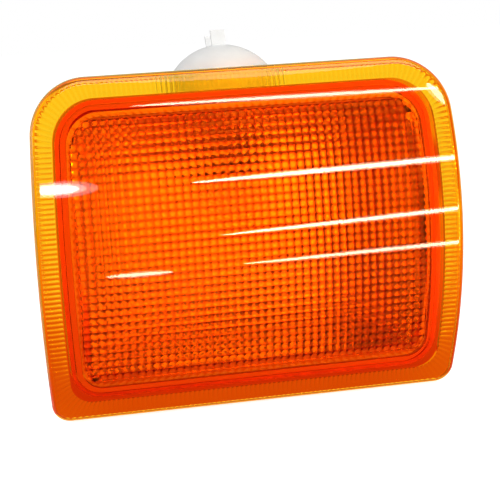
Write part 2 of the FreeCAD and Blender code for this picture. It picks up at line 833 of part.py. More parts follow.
holder_cap = turned(
    "holder_cap",
    [
        ("holder_radius", FLANGE_END),
        ("0", FLANGE_END + " + holder_radius"),
        ("0", FLANGE_END + " + holder_radius - cap_wall"),
        ("holder_radius - cap_wall", FLANGE_END),
    ],
    {
        0: ("0", FLANGE_END, "holder_radius"),
        2: ("0", FLANGE_END, "holder_radius - cap_wall", "back"),
    },
)
worked(holder_cap, "Pocket", "cap_live_slot", "XY_Plane", FLANGE_END + " + holder_radius + 1",
       "holder_radius - tower_radius",
       box_corners("-(%s)" % SLOT_SIDE, SLOT_SIDE, "live_offset - blade_thickness / 2 - blade_gap",
                   "live_offset + blade_thickness / 2 + blade_gap"))
worked(holder_cap, "Pocket", "cap_earth_slot", "XY_Plane", FLANGE_END + " + holder_radius + 1",
       "holder_radius - tower_radius",
       box_corners("-(%s)" % SLOT_SIDE, SLOT_SIDE, "-(sleeve_radius + blade_thickness + blade_gap)",
                   "-(sleeve_radius - blade_gap)"))
on_bulb_axis(holder_cap)

holder_seal = turned(
    "holder_seal",
    box_corners("collar_radius - holder_seal_wall", "collar_radius", COLLAR_END, SEAL_END),
)
on_bulb_axis(holder_seal)

# Lamp socket: sleeve with two hooked slots, spring contact, and the two blades

socket_sleeve = turned(
    "socket_sleeve",
    box_corners("sleeve_radius - sleeve_wall", "sleeve_radius", "sleeve_start", "sleeve_end"),
)
hook = worked(
    socket_sleeve, "Pocket", "hook_slot", "YZ_Plane", "0", "sleeve_radius + 1",
    [
        ("-slot_offset - slot_width / 2", "sleeve_start - 1"),
        ("-slot_offset + slot_width / 2", "sleeve_start - 1"),
        ("-slot_offset + slot_width / 2", "slot_end - slot_width"),
        ("-slot_width / 2", "slot_end - slot_width"),
        ("-slot_width / 2", "slot_seat"),
        ("slot_width / 2", "slot_seat"),
        ("slot_width / 2", "slot_end"),
        ("-slot_offset - slot_width / 2", "slot_end"),
    ],
    flip=True,
)
around(socket_sleeve, "hook_slots", [hook], 2)
on_bulb_axis(socket_sleeve)

DISC_END = "disc_start + disc_thickness"
contact_disc = turned(
    "contact_disc",
    box_corners("rivet_radius + rivet_gap", "disc_radius", "disc_start", DISC_END),
)
on_bulb_axis(contact_disc)

contact_rivet = turned(
    "contact_rivet",
    [
        ("0", "disc_start - rivet_head"),
        ("rivet_head_radius", "disc_start - rivet_head"),
        ("rivet_head_radius", "disc_start"),
        ("rivet_radius", "disc_start"),
        ("rivet_radius", DISC_END),
        ("rivet_head_radius", DISC_END),
        ("rivet_head_radius", DISC_END + " + rivet_tail"),
        ("0", DISC_END + " + rivet_tail"),
    ],
)
on_bulb_axis(contact_rivet)


def coil(name, radius, wire, length, turns):
    """Round wire wound about the Z axis from the origin."""
    helix = doc.addObject("Part::Helix", name + "_path")
    bind(helix, Radius=radius, Height=length, Pitch="(%s) / (%s)" % (length, turns))
    section = doc.addObject("Part::Circle", name + "_section")
    section.Placement = FreeCAD.Placement(
        FreeCAD.Vector(0, 0, 0), FreeCAD.Rotation(FreeCAD.Vector(1, 0, 0), 90)
    )
    bind(section, Radius=wire, Placement__Base__x=radius)
    doc.recompute()
    solid = doc.addObject("Part::Sweep", name)
    solid.Sections = [section]
    solid.Spine = (helix, ["Edge%d" % (index + 1) for index in range(len(helix.Shape.Edges))])
    solid.Solid = True
    solid.Frenet = True
    return solid


FOOT_START = "tower_end - tower_web - blade_thickness"
contact_spring = coil("contact_spring", "spring_radius", "spring_wire",
                      "(%s) - (%s) - 2 * spring_wire" % (FOOT_START, DISC_END), "spring_turns")
on_bulb_axis(contact_spring, DISC_END + " + spring_wire")

live_terminal = turned(
    "live_terminal",
    [("0", FOOT_START), ("foot_radius", FOOT_START), ("foot_radius", "tower_end - tower_web"),
     ("0", "tower_end - tower_web")],
)
worked(live_terminal, "Pad", "live_blade", "XY_Plane", FOOT_START, "live_end - (%s)" % FOOT_START,
       box_corners("-blade_width / 2", "blade_width / 2", "live_offset - blade_thickness / 2",
                   "live_offset + blade_thickness / 2"))
on_bulb_axis(live_terminal)

earth_terminal = doc.addObject("PartDesign::Body", "earth_terminal")
worked(earth_terminal, "Pad", "earth_blade", "XY_Plane", "earth_start", "earth_end - earth_start",
       box_corners("-blade_width / 2", "blade_width / 2",
                   "-(sleeve_radius + blade_thickness)", "-sleeve_radius"))
on_bulb_axis(earth_terminal)

# Bulb: glass, base shell with two pins, insulator, contact, stem, supports and filament

NECK_EDGE = "sqrt(bulb_radius ^ 2 - (bulb_neck + bulb_centre) ^ 2)"
INNER_EDGE = "sqrt((bulb_radius - bulb_wall) ^ 2 - (bulb_neck + bulb_centre) ^ 2)"
bulb_glass = turned(
    "bulb_glass",
    [
        ("0", "-bulb_centre - bulb_radius"),
        (NECK_EDGE, "bulb_neck"),
        ("bulb_neck_radius", "bulb_shoulder"),
        ("bulb_neck_radius", "bulb_glass_end"),
        ("bulb_neck_radius - bulb_wall", "bulb_glass_end"),
        ("bulb_neck_radius - bulb_wall", "bulb_shoulder"),
        (INNER_EDGE, "bulb_neck"),
        ("0", "-bulb_centre - bulb_radius + bulb_wall"),
    ],
    {
        0: ("0", "-bulb_centre", "bulb_radius"),
        6: ("0", "-bulb_centre", "bulb_radius - bulb_wall", "back"),
    },
)
on_bulb_axis(bulb_glass)

BASE_INSIDE = "base_radius - base_wall"
bulb_base = turned(
    "bulb_base",
    [
        (BASE_INSIDE, "bulb_shoulder"),
        ("base_radius", "bulb_shoulder"),
        ("base_radius", "base_end - 2 * base_wall"),
        ("base_radius - 2 * base_wall", "base_end"),
        ("base_mouth", "base_end"),
        ("base_mouth", "base_end - base_wall"),
        ("%s - 2 * base_wall" % BASE_INSIDE, "base_end - base_wall"),
        (BASE_INSIDE, "base_end - 3 * base_wall"),
    ],
)
pin = bulb_base.newObject("PartDesign::AdditiveCylinder", "pin")
pin.Radius = number("pin_radius")
pin.MapMode = "Deactivated"
pin.Placement = FreeCAD.Placement(FreeCAD.Vector(0, 0, 0), FreeCAD.Rotation(FreeCAD.Vector(0, 1, 0), 90))
bind(pin, Radius="pin_radius", Height="pin_reach - (%s) - base_wall / 2" % BASE_INSIDE,
     Placement__Base__x=BASE_INSIDE + " + base_wall / 2", Placement__Base__z="pin_height")
bulb_base.Tip = pin
doc.recompute()
around(bulb_base, "pins", [pin], 2)
on_bulb_axis(bulb_base)

bulb_insulator = turned(
    "bulb_insulator",
    [
        ("0", "base_end - 3 * base_wall - insulator_gap"),
        ("%s - 2 * base_wall - insulator_gap" % BASE_INSIDE, "base_end - 3 * base_wall - insulator_gap"),
        ("%s - 2 * base_wall - insulator_gap" % BASE_INSIDE, "base_end - base_wall - insulator_gap"),
        ("base_mouth - insulator_gap", "base_end - base_wall - insulator_gap"),
        ("base_mouth - insulator_gap", "base_end"),
        ("contact_radius + 4 * insulator_gap", "insulator_end"),
        ("0", "insulator_end"),
    ],
)
on_bulb_axis(bulb_insulator)

CONTACT_RISE = "(contact_end - insulator_end)"
CONTACT_ROUND = "(contact_radius ^ 2 + %s ^ 2) / (2 * %s)" % (CONTACT_RISE, CONTACT_RISE)
bulb_contact = turned(
    "bulb_contact",
    [("0", "insulator_end"), ("contact_radius", "insulator_end"), ("0", "contact_end")],
    {1: ("0", "contact_end - " + CONTACT_ROUND, CONTACT_ROUND)},
)
on_bulb_axis(bulb_contact)

STEM_FOOT = "bulb_neck_radius - bulb_wall - stem_gap"
bulb_stem = turned(
    "bulb_stem",
    [
        ("0", "stem_start"),
        ("stem_radius", "stem_start"),
        ("stem_radius", "bulb_shoulder"),
        (STEM_FOOT, "bulb_glass_end - stem_gap"),
        (STEM_FOOT, "bulb_glass_end"),
        ("0", "bulb_glass_end"),
    ],
)
on_bulb_axis(bulb_stem)


def pair(name, first, second):
    """Two like solids kept apart as one piece of the lamp."""
    group = doc.addObject("Part::Compound", name)
    group.Links = [first, second]
    return group


def support(name, side):
    """One straight support wire beside the filament."""
    solid = doc.addObject("Part::Cylinder", name)
    bind(solid, Radius="support_radius", Height="stem_start + support_end",
         Placement__Base__x="%ssupport_offset" % side, Placement__Base__z="-support_end")
    return solid


bulb_supports = pair("bulb_supports", support("support_left", "-"), support("support_right", ""))
on_bulb_axis(bulb_supports)

bulb_filament = coil("bulb_filament", "filament_radius", "filament_wire", "filament_length", "filament_turns")
bulb_filament.Placement = FreeCAD.Placement(
    FreeCAD.Vector(0, 0, 0), FreeCAD.Rotation(FreeCAD.Vector(0, 1, 0), 90)
)
bind(bulb_filament, Placement__Base__x="-filament_length / 2", Placement__Base__y="-focus_depth",
     Placement__Base__z="focus_height")

# Threaded inserts in the rear bosses


def insert(name, side):
    """Bush with a tapped hole, flush with the seating plane."""
    x = "%sfixing_spacing / 2" % side
    return less(
        name,
        back_rod(name + "_bush", "insert_radius", x, "0", "-insert_length", "0"),
        back_rod(name + "_hole", "insert_hole_radius", x, "0", "-insert_length - 1", "1"),
    )


fixing_inserts = pair("fixing_inserts", insert("insert_left", "-"), insert("insert_right", ""))

# Breather cap on the vent tube

CAP_TOP = "vent_length + vent_cap_radius - vent_radius"
vent_cap = turned(
    "vent_cap",
    [
        ("vent_radius + vent_cap_gap", "vent_length - vent_cap_length + vent_cap_radius - vent_radius"),
        ("vent_cap_radius", "vent_length - vent_cap_length + vent_cap_radius - vent_radius"),
        ("vent_cap_radius", CAP_TOP),
        ("0", CAP_TOP),
        ("0", "vent_length"),
        ("vent_radius + vent_cap_gap", "vent_length"),
    ],
)
vent_cap.Placement = FreeCAD.Placement(
    FreeCAD.Vector(0, 0, 0), FreeCAD.Rotation(FreeCAD.Vector(1, 0, 0), -90)
)
bind(vent_cap, Placement__Base__y="-tray_back + housing_wall", Placement__Base__z="-vent_drop")

# Check and write

doc.recompute()
NODES = [
    lens, lens_seal, housing, reflector, bulb_holder, holder_cap, holder_seal, socket_sleeve, contact_disc,
    contact_rivet, contact_spring, live_terminal, earth_terminal, bulb_glass, bulb_base, bulb_insulator,
    bulb_contact, bulb_stem, bulb_supports, bulb_filament, fixing_inserts, vent_cap,
]
for thing in doc.Objects:
    if "Invalid" in thing.State or "Error" in thing.State:
        raise RuntimeError("feature failed: %s %s" % (thing.Name, thing.State))
os.makedirs("parts", exist_ok=True)
for node in NODES:
    shape = node.Shape
    if shape.isNull() or not shape.isValid():
        raise RuntimeError("bad shape: " + node.Label)
    shape.exportStep("parts/%s.step" % node.Label)
    print(node.Label, len(shape.Solids), round(shape.Volume, 1), shape.BoundBox)
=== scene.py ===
"""Dressed model of a vehicle indicator lamp: amber lens, white housing, bulb set in from above."""

import logging
import math
from dataclasses import dataclass, field
from enum import Enum
from typing import Any

import bpy
import numpy as np
from mathutils import Matrix, Vector

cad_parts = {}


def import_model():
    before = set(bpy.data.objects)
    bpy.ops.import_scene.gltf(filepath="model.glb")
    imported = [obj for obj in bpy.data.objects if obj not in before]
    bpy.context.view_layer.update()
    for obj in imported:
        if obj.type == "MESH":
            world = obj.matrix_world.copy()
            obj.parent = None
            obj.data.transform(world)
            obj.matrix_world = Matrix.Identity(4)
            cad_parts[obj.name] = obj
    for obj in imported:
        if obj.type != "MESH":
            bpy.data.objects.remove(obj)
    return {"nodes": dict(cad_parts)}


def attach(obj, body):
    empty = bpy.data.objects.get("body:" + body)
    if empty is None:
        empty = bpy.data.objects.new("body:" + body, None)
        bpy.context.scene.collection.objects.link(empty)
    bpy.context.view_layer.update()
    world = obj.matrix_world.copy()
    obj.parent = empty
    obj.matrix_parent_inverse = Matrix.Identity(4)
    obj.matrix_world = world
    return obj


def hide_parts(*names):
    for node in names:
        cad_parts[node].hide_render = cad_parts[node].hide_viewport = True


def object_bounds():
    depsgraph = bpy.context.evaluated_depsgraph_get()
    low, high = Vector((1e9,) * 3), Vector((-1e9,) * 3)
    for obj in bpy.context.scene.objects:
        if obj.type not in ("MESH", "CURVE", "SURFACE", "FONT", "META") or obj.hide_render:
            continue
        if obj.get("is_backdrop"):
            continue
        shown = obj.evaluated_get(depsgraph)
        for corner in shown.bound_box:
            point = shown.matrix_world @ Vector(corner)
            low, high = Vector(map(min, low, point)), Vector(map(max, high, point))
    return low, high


log = logging.getLogger("indicator_lamp")

Point = tuple[float, float, float]
Colour = tuple[float, float, float]
Pair = tuple[float, float]
Stop = tuple[float, Colour]
Socket = bpy.types.NodeSocket
Number = Socket | float

# A millimetre in metres, and a length in millimetres that counts as none.
MM = 0.001
NEAR = 0.001
TURN = 2.0 * math.pi
UNIT: Pair = (0.0, 1.0)
# Most noise lies between these ends. Patches have finer layers than the grain.
NOISE_ENDS: Pair = (0.3, 0.7)
NOISE_ROUGHNESS = 0.55
PATCH_DETAIL = 4.0
GRAIN_DETAIL = 2.0
# A ray with more bounces than this behind it was turned back by the reflector.
STRAIGHT_BOUNCES = 3.5
# Height shares of the points along one rib, and the name of the mask that paints shade into the prism
# valleys, leaving each prism's middle as a painted bright dot.
RIB_WAVE = (0.0, 0.5, 1.0, 0.5)
PAINTED_CELL_SHADE_MASK = "painted_cell_shade_mask"
ORIGIN: Point = (0.0, 0.0, 0.0)
ACROSS: Point = (1.0, 0.0, 0.0)
INWARDS: Point = (0.0, 1.0, 0.0)
WHITE: Colour = (1.0, 1.0, 1.0)
WARM_LIGHT: Colour = (1.0, 0.87, 0.62)


class Grain(Enum):
    """Surface grain of a finish: noise scale per metre and bump height in metres."""

    POLISHED = (90.0, 0.0)
    MOULDED = (900.0, 0.00002)
    ERODED = (2600.0, 0.00004)
    PLATED = (420.0, 0.000008)

    @property
    def scale(self) -> float:
        """Noise scale per metre."""
        return self.value[0]

    @property
    def height(self) -> float:
        """Height of the bumps in metres."""
        return self.value[1]


class Ray(Enum):
    """Kinds of ray, by the output of the light path node that tells them."""

    CAMERA = "Is Camera Ray"
    SHADOW = "Is Shadow Ray"
    GLOSSY = "Is Glossy Ray"
    REFLECTED = "Is Reflection Ray"
    THROUGH = "Is Transmission Ray"


@dataclass(frozen=True)
class Patch:
    """Oval patch of painted light on the floor: middle and half lengths in metres, and the share at full
    strength.
    """

    middle: Pair
    half: Pair
    core: float


class NodeSheet:
    """Node tree of one material or world, with short calls to add and join nodes."""

    def __init__(self, tree: bpy.types.NodeTree) -> None:
        """Clears the tree for a fresh layout."""
        self.tree = tree
        tree.nodes.clear()

    def add(self, kind: str, **values: Any) -> bpy.types.Node:
        """Adds a node.

        Args:
            kind: Node type without its ShaderNode prefix.
            values: Input values by socket name with spaces as underscores.

        Returns:
            The new node.
        """
        node = self.tree.nodes.new("ShaderNode" + kind)
        for name, value in values.items():
            node.inputs[name.replace("_", " ")].default_value = value
        return node

    def join(self, source: Socket, target: Socket) -> None:
        """Links an output to an input."""
        self.tree.links.new(source, target)

    def ray(self, kind: Ray) -> Socket:
        """Number that is 1 for a ray of this kind and 0 for any other."""
        return self.add("LightPath").outputs[kind.value]

    def mirror_ray(self) -> Socket:
        """Number that is 1 for a ray mirrored by a glossy face and 0 for any other."""
        return self.calc("MULTIPLY", self.ray(Ray.GLOSSY), self.ray(Ray.REFLECTED))

    def turned_ray(self) -> Socket:
        """Number that is 1 for light the reflector sent out again, told by its many bounces, or else 0."""
        return self.calc("GREATER_THAN", self.add("LightPath").outputs["Ray Depth"], STRAIGHT_BOUNCES)

    def calc(self, operation: str, first: Number, second: Number) -> Socket:
        """Works out a number from two sockets or plain numbers.

        Args:
            operation: Name of the operation.
            first: First socket or number.
            second: Second socket or number.

        Returns:
            The result.
        """
        node = self.add("Math")
        node.operation = operation
        for slot, value in enumerate((first, second)):
            if isinstance(value, Socket):
                self.join(value, node.inputs[slot])
            else:
                node.inputs[slot].default_value = value
        return node.outputs[0]

    def vector(self, operation: str, value: Socket, other: Point | None = None) -> bpy.types.Node:
        """Works out a vector or its length from a socket and, where needed, a fixed vector.

        Args:
            operation: Name of the operation.
            value: The vector.
            other: The fixed vector.

        Returns:
            The node, with the outputs Vector and Value.
        """
        node = self.add("VectorMath")
        node.operation = operation
        self.join(value, node.inputs[0])
        if other is not None:
            node.inputs[1].default_value = other
        return node

    def parts(self, value: Socket) -> tuple[Socket, Socket, Socket]:
        """Splits a vector.

        Args:
            value: The vector.

        Returns:
            Its x, y and z.
        """
        node = self.add("SeparateXYZ")
        self.join(value, node.inputs["Vector"])
        return tuple(node.outputs)

    def either(self, choice: Socket, off: Number, on: Number) -> Socket:
        """Number that is the first value where the choice is 0 and the second where it is 1.

        Args:
            choice: The choice.
            off: Socket or number for 0.
            on: Socket or number for 1.

        Returns:
            The chosen number.
        """
        rest = self.calc("MULTIPLY", self.calc("SUBTRACT", 1.0, choice), off)
        return self.calc("ADD", rest, self.calc("MULTIPLY", choice, on))

    def between(self, value: Socket, ends: Pair, low: float, high: float) -> Socket:
        """Maps a number that runs between two ends to the range from low to high, held beyond the ends.

        Args:
            value: The number.
            ends: Where the range starts and ends.
            low: Result at the start.
            high: Result at the end.

        Returns:
            The mapped number.
        """
        node = self.add("MapRange", From_Min=ends[0], From_Max=ends[1], To_Min=low, To_Max=high)
        self.join(value, node.inputs["Value"])
        return node.outputs["Result"]

    def oval(self, place: Socket, patch: Patch, low: float) -> Socket:
        """Share of an oval patch: 1 in its middle, fading to 0 at its edge.

        Args:
            place: Place on the floor.
            patch: The oval.
            low: Height of the floor.

        Returns:
            The share.
        """
        offset = self.vector("SUBTRACT", place, (*patch.middle, low))
        scaled = self.vector("DIVIDE", offset.outputs["Vector"], (*patch.half, 1.0))
        length = self.vector("LENGTH", scaled.outputs["Vector"])
        return self.between(length.outputs["Value"], (patch.core, 1.0), 1.0, 0.0)

    def noise(self, scale: float, detail: float = PATCH_DETAIL) -> Socket:
        """Noise on object coordinates.

        Args:
            scale: Noise scale per metre.
            detail: Number of finer layers.

        Returns:
            The noise value, about 0 to 1.
        """
        place = self.add("TexCoord")
        texture = self.add("TexNoise", Scale=scale, Detail=detail, Roughness=NOISE_ROUGHNESS)
        self.join(place.outputs["Object"], texture.inputs["Vector"])
        return texture.outputs["Fac"]

    def spread(self, noise: Socket, low: float, high: float) -> Socket:
        """Maps noise, between its usual ends, to the range from low to high."""
        return self.between(noise, NOISE_ENDS, low, high)

    def tint(self, noise: Socket, dark: Colour, light: Colour) -> Socket:
        """Blends two colours by noise, between its usual ends."""
        return self.ramp(noise, ((NOISE_ENDS[0], dark), (NOISE_ENDS[1], light)))

    def ramp(self, value: Socket, stops: tuple[Stop, ...]) -> Socket:
        """Colour that runs through a row of stops.

        Args:
            value: Place along the row.
            stops: Places and colours in rising order, two or more.

        Returns:
            The colour.
        """
        node = self.add("ValToRGB")
        steps = node.color_ramp.elements
        for index, (place, colour) in enumerate((stops[0], stops[-1])):
            steps[index].position = place
            steps[index].color = (*colour, 1.0)
        for place, colour in stops[1:-1]:
            steps.new(place).color = (*colour, 1.0)
        self.join(value, node.inputs["Fac"])
        return node.outputs["Color"]

    def blend(self, share: Socket, colour: Socket, other: Colour) -> Socket:
        """Blends a colour with a fixed one.

        Args:
            share: Share of the fixed colour.
            colour: The colour.
            other: The fixed colour.

        Returns:
            The blended colour.
        """
        node = self.add("MixRGB", Color2=(*other, 1.0))
        self.join(share, node.inputs["Fac"])
        self.join(colour, node.inputs["Color1"])
        return node.outputs["Color"]

    def glow(self, kind: str, strength: Socket) -> bpy.types.Node:
        """White light of a given strength.

        Args:
            kind: Emission, or Background in a world.
            strength: The strength.

        Returns:
            The light's node.
        """
        node = self.add(kind, Color=(*WHITE, 1.0))
        self.join(strength, node.inputs["Strength"])
        return node

    def mix(self, choice: Socket, off: Socket, on: Socket) -> Socket:
        """Shader that is the first where the choice is 0 and the second where it is 1.

        Args:
            choice: The choice.
            off: Shader for 0.
            on: Shader for 1.

        Returns:
            The chosen shader.
        """
        node = self.add("MixShader")
        for source, slot in ((choice, 0), (off, 1), (on, 2)):
            self.join(source, node.inputs[slot])
        return node.outputs["Shader"]


def new_material(name: str) -> tuple[bpy.types.Material, NodeSheet]:
    """Makes a material with an empty node tree.

    Args:
        name: Material name.

    Returns:
        The material and the sheet of its nodes.
    """
    made = bpy.data.materials.new(name)
    made.use_nodes = True
    return made, NodeSheet(made.node_tree)


def shaded(colour: Colour, share: float) -> Colour:
    """Colour made darker by a share."""
    return tuple(part * (1.0 - share) for part in colour)


@dataclass(frozen=True)
class OpaqueFinish:
    """Plastic, rubber or metal with a mottled colour, an uneven gloss and a fine grain.

    The painted glow through is light the piece gives off itself for rays through a clear moulding, painted
    in place of what such a moulding brings down to a piece that is only seen through it.
    """

    name: str
    colour: Colour
    roughness: float
    metallic: float = 0.0
    mottle: float = 0.05
    uneven: float = 0.06
    smoothest: float = 0.02
    grain: Grain = Grain.MOULDED
    grain_strength: float = 0.5
    patch_scale: float = 140.0
    painted_glow_through: float = 0.0

    def material(self) -> bpy.types.Material:
        """Builds the material: large soft patches in colour and gloss, and a fine bump.

        Returns:
            The material.
        """
        made, sheet = new_material(self.name)
        out = sheet.add("OutputMaterial")
        skin = sheet.add("BsdfPrincipled", Metallic=self.metallic)
        patches = sheet.noise(self.patch_scale)
        colour = sheet.tint(patches, shaded(self.colour, self.mottle), self.colour)
        sheet.join(colour, skin.inputs["Base Color"])
        smooth = max(self.roughness - self.uneven, self.smoothest)
        rough = sheet.spread(patches, self.roughness + self.uneven, smooth)
        sheet.join(rough, skin.inputs["Roughness"])
        if self.grain.height > 0.0:
            bump = sheet.add("Bump", Strength=self.grain_strength, Distance=self.grain.height)
            sheet.join(sheet.noise(self.grain.scale, GRAIN_DETAIL), bump.inputs["Height"])
            sheet.join(bump.outputs["Normal"], skin.inputs["Normal"])
        # Painted glow: the piece shines for rays through the lens, though it is no lamp.
        if self.painted_glow_through > 0.0:
            skin.inputs["Emission Color"].default_value = (*self.colour, 1.0)
            glow = sheet.calc("MULTIPLY", sheet.ray(Ray.THROUGH), self.painted_glow_through)
            sheet.join(glow, skin.inputs["Emission Strength"])
        sheet.join(skin.outputs["BSDF"], out.inputs["Surface"])
        return made


@dataclass(frozen=True)
class ClearFinish:
    """Clear or tinted moulding: smooth refraction, colour taken by depth, and lamps let through.

    Where it has a painted cell shade, the valleys between the prisms are painted darker with it over a
    range of their depth, so that each prism's middle reads as a painted bright dot in place of the
    reflector's highlights seen through it.
    """

    name: str
    index: float
    roughness: float
    depth_colour: Colour = WHITE
    density: float = 0.0
    haze: float = 0.01
    haze_scale: float = 60.0
    haze_tint: Colour = (0.985, 0.985, 0.985)
    # Painted shade in the prism valleys, and the range of valley depth over which it comes in.
    painted_cell_shade: Colour | None = None
    painted_cell_shade_ends: Pair = (0.12, 0.5)

    def material(self) -> bpy.types.Material:
        """Builds the material: refracting skin with a faint haze, and absorption inside.

        Returns:
            The material.
        """
        made, sheet = new_material(self.name)
        out = sheet.add("OutputMaterial")
        skin = sheet.add("BsdfPrincipled", IOR=self.index, Transmission_Weight=1.0)
        patches = sheet.noise(self.haze_scale)
        clear = sheet.tint(patches, self.haze_tint, WHITE)
        # Paints shade into the prism valleys, leaving painted bright dots in the prism middles.
        if self.painted_cell_shade is not None:
            valley = sheet.add("Attribute")
            valley.attribute_name = PAINTED_CELL_SHADE_MASK
            share = sheet.between(valley.outputs["Fac"], self.painted_cell_shade_ends, 0.0, 1.0)
            clear = sheet.blend(share, clear, self.painted_cell_shade)
        sheet.join(clear, skin.inputs["Base Color"])
        rough = sheet.spread(patches, self.roughness, self.roughness + self.haze)
        sheet.join(rough, skin.inputs["Roughness"])
        open_way = sheet.add("BsdfTransparent")
        face = sheet.mix(sheet.ray(Ray.SHADOW), skin.outputs["BSDF"], open_way.outputs["BSDF"])
        sheet.join(face, out.inputs["Surface"])
        if self.density > 0.0:
            inside = sheet.add("VolumeAbsorption", Color=(*self.depth_colour, 1.0), Density=self.density)
            sheet.join(inside.outputs["Volume"], out.inputs["Volume"])
        return made


AMBER = ClearFinish(
    "amber_lens",
    index=1.49,
    roughness=0.0,
    depth_colour=(0.985, 0.86, 0.0),
    density=2100.0,
    # Painted shade in the prism valleys.
    painted_cell_shade=(0.6, 0.2, 0.06),
)
BULB_GLASS = ClearFinish("bulb_glass", index=1.5, roughness=0.0, haze=0.005)
WHITE_HOUSING = OpaqueFinish("white_housing", (0.8, 0.8, 0.79), 0.42)
WHITE_HOLDER = OpaqueFinish("white_holder", (0.82, 0.82, 0.815), 0.36)
BRIGHT_REFLECTOR = OpaqueFinish(
    "bright_reflector",
    (0.95, 0.95, 0.955),
    0.22,
    metallic=1.0,
    mottle=0.02,
    uneven=0.03,
    grain=Grain.POLISHED,
)
# The sealant has a painted glow for rays through the lens.
PALE_SEALANT_PAINTED_GLOW = OpaqueFinish("pale_sealant", (0.74, 0.73, 0.7), 0.55, grain=Grain.ERODED, painted_glow_through=1.0)
SEAL_RUBBER = OpaqueFinish("seal_rubber", (0.035, 0.035, 0.037), 0.7, mottle=0.3, grain=Grain.ERODED)
PLATED_STEEL = OpaqueFinish("plated_steel", (0.62, 0.61, 0.58), 0.28, metallic=1.0, grain=Grain.PLATED)
BROWN_INSULATOR = OpaqueFinish("brown_insulator", (0.16, 0.07, 0.03), 0.5, mottle=0.25, patch_scale=400.0)
CONTACT_BRASS = OpaqueFinish("contact_brass", (0.72, 0.52, 0.24), 0.3, metallic=1.0, grain=Grain.PLATED)
TINNED_BLADE = OpaqueFinish("tinned_blade", (0.74, 0.74, 0.73), 0.34, metallic=1.0, grain=Grain.PLATED)
BLACK_INSULATOR = OpaqueFinish("black_insulator", (0.03, 0.03, 0.032), 0.25, mottle=0.3)
TUNGSTEN = OpaqueFinish("tungsten", (0.32, 0.31, 0.3), 0.45, metallic=1.0, grain=Grain.PLATED)


def new_object(name: str, points: np.ndarray, quads: np.ndarray, triangles: np.ndarray) -> bpy.types.Object:
    """Puts arrays of points and faces into a mesh object.

    Args:
        name: Object name.
        points: Rows of x, y, z in metres.
        quads: Rows of four point numbers.
        triangles: Rows of three point numbers.

    Returns:
        The object, linked to the scene.
    """
    mesh = bpy.data.meshes.new(name)
    corners = np.concatenate([quads.ravel(), triangles.ravel()]).astype(np.int32)
    sizes = np.concatenate([np.full(len(quads), 4), np.full(len(triangles), 3)]).astype(np.int32)
    starts = np.concatenate([[0], np.cumsum(sizes)[:-1]]).astype(np.int32)
    mesh.vertices.add(len(points))
    mesh.vertices.foreach_set("co", points.astype(np.float32).ravel())
    mesh.loops.add(len(corners))
    mesh.loops.foreach_set("vertex_index", corners)
    mesh.polygons.add(len(sizes))
    mesh.polygons.foreach_set("loop_start", starts)
    mesh.polygons.foreach_set("use_smooth", np.ones(len(sizes), bool))
    mesh.update(calc_edges=True)
    mesh.validate()
    made = bpy.data.objects.new(name, mesh)
    bpy.context.scene.collection.objects.link(made)
    return made


def angle_round(points: np.ndarray) -> np.ndarray:
    """Angles of points about the middle of the lens, seen from the front: atan2(z, x) from 0 to a turn."""
    return np.arctan2(points[:, 2], points[:, 0]) % TURN


def zipped(
    first_turn: np.ndarray, first: np.ndarray, second_turn: np.ndarray, second: np.ndarray
) -> np.ndarray:
    """Strip of triangles between two rings with different numbers of points, taken in order of angle.

    Each edge of one ring makes a triangle with the point that the other ring has reached at that angle.

    Args:
        first_turn: Rising angles of the first ring.
        first: Its point numbers.
        second_turn: Rising angles of the second ring.
        second: Its point numbers.

    Returns:
        Rows of three point numbers.
    """
    first_next = np.append(first_turn[1:], first_turn[0] + TURN)
    second_next = np.append(second_turn[1:], second_turn[0] + TURN)
    reached = np.searchsorted(second_next, first_next, side="left") % len(second)
    on_first = np.stack([first, second[reached], np.roll(first, -1)], axis=-1)
    met = np.searchsorted(first_next, second_next, side="right") % len(first)
    on_second = np.stack([first[met], second, np.roll(second, -1)], axis=-1)
    return np.concatenate([on_first, on_second])


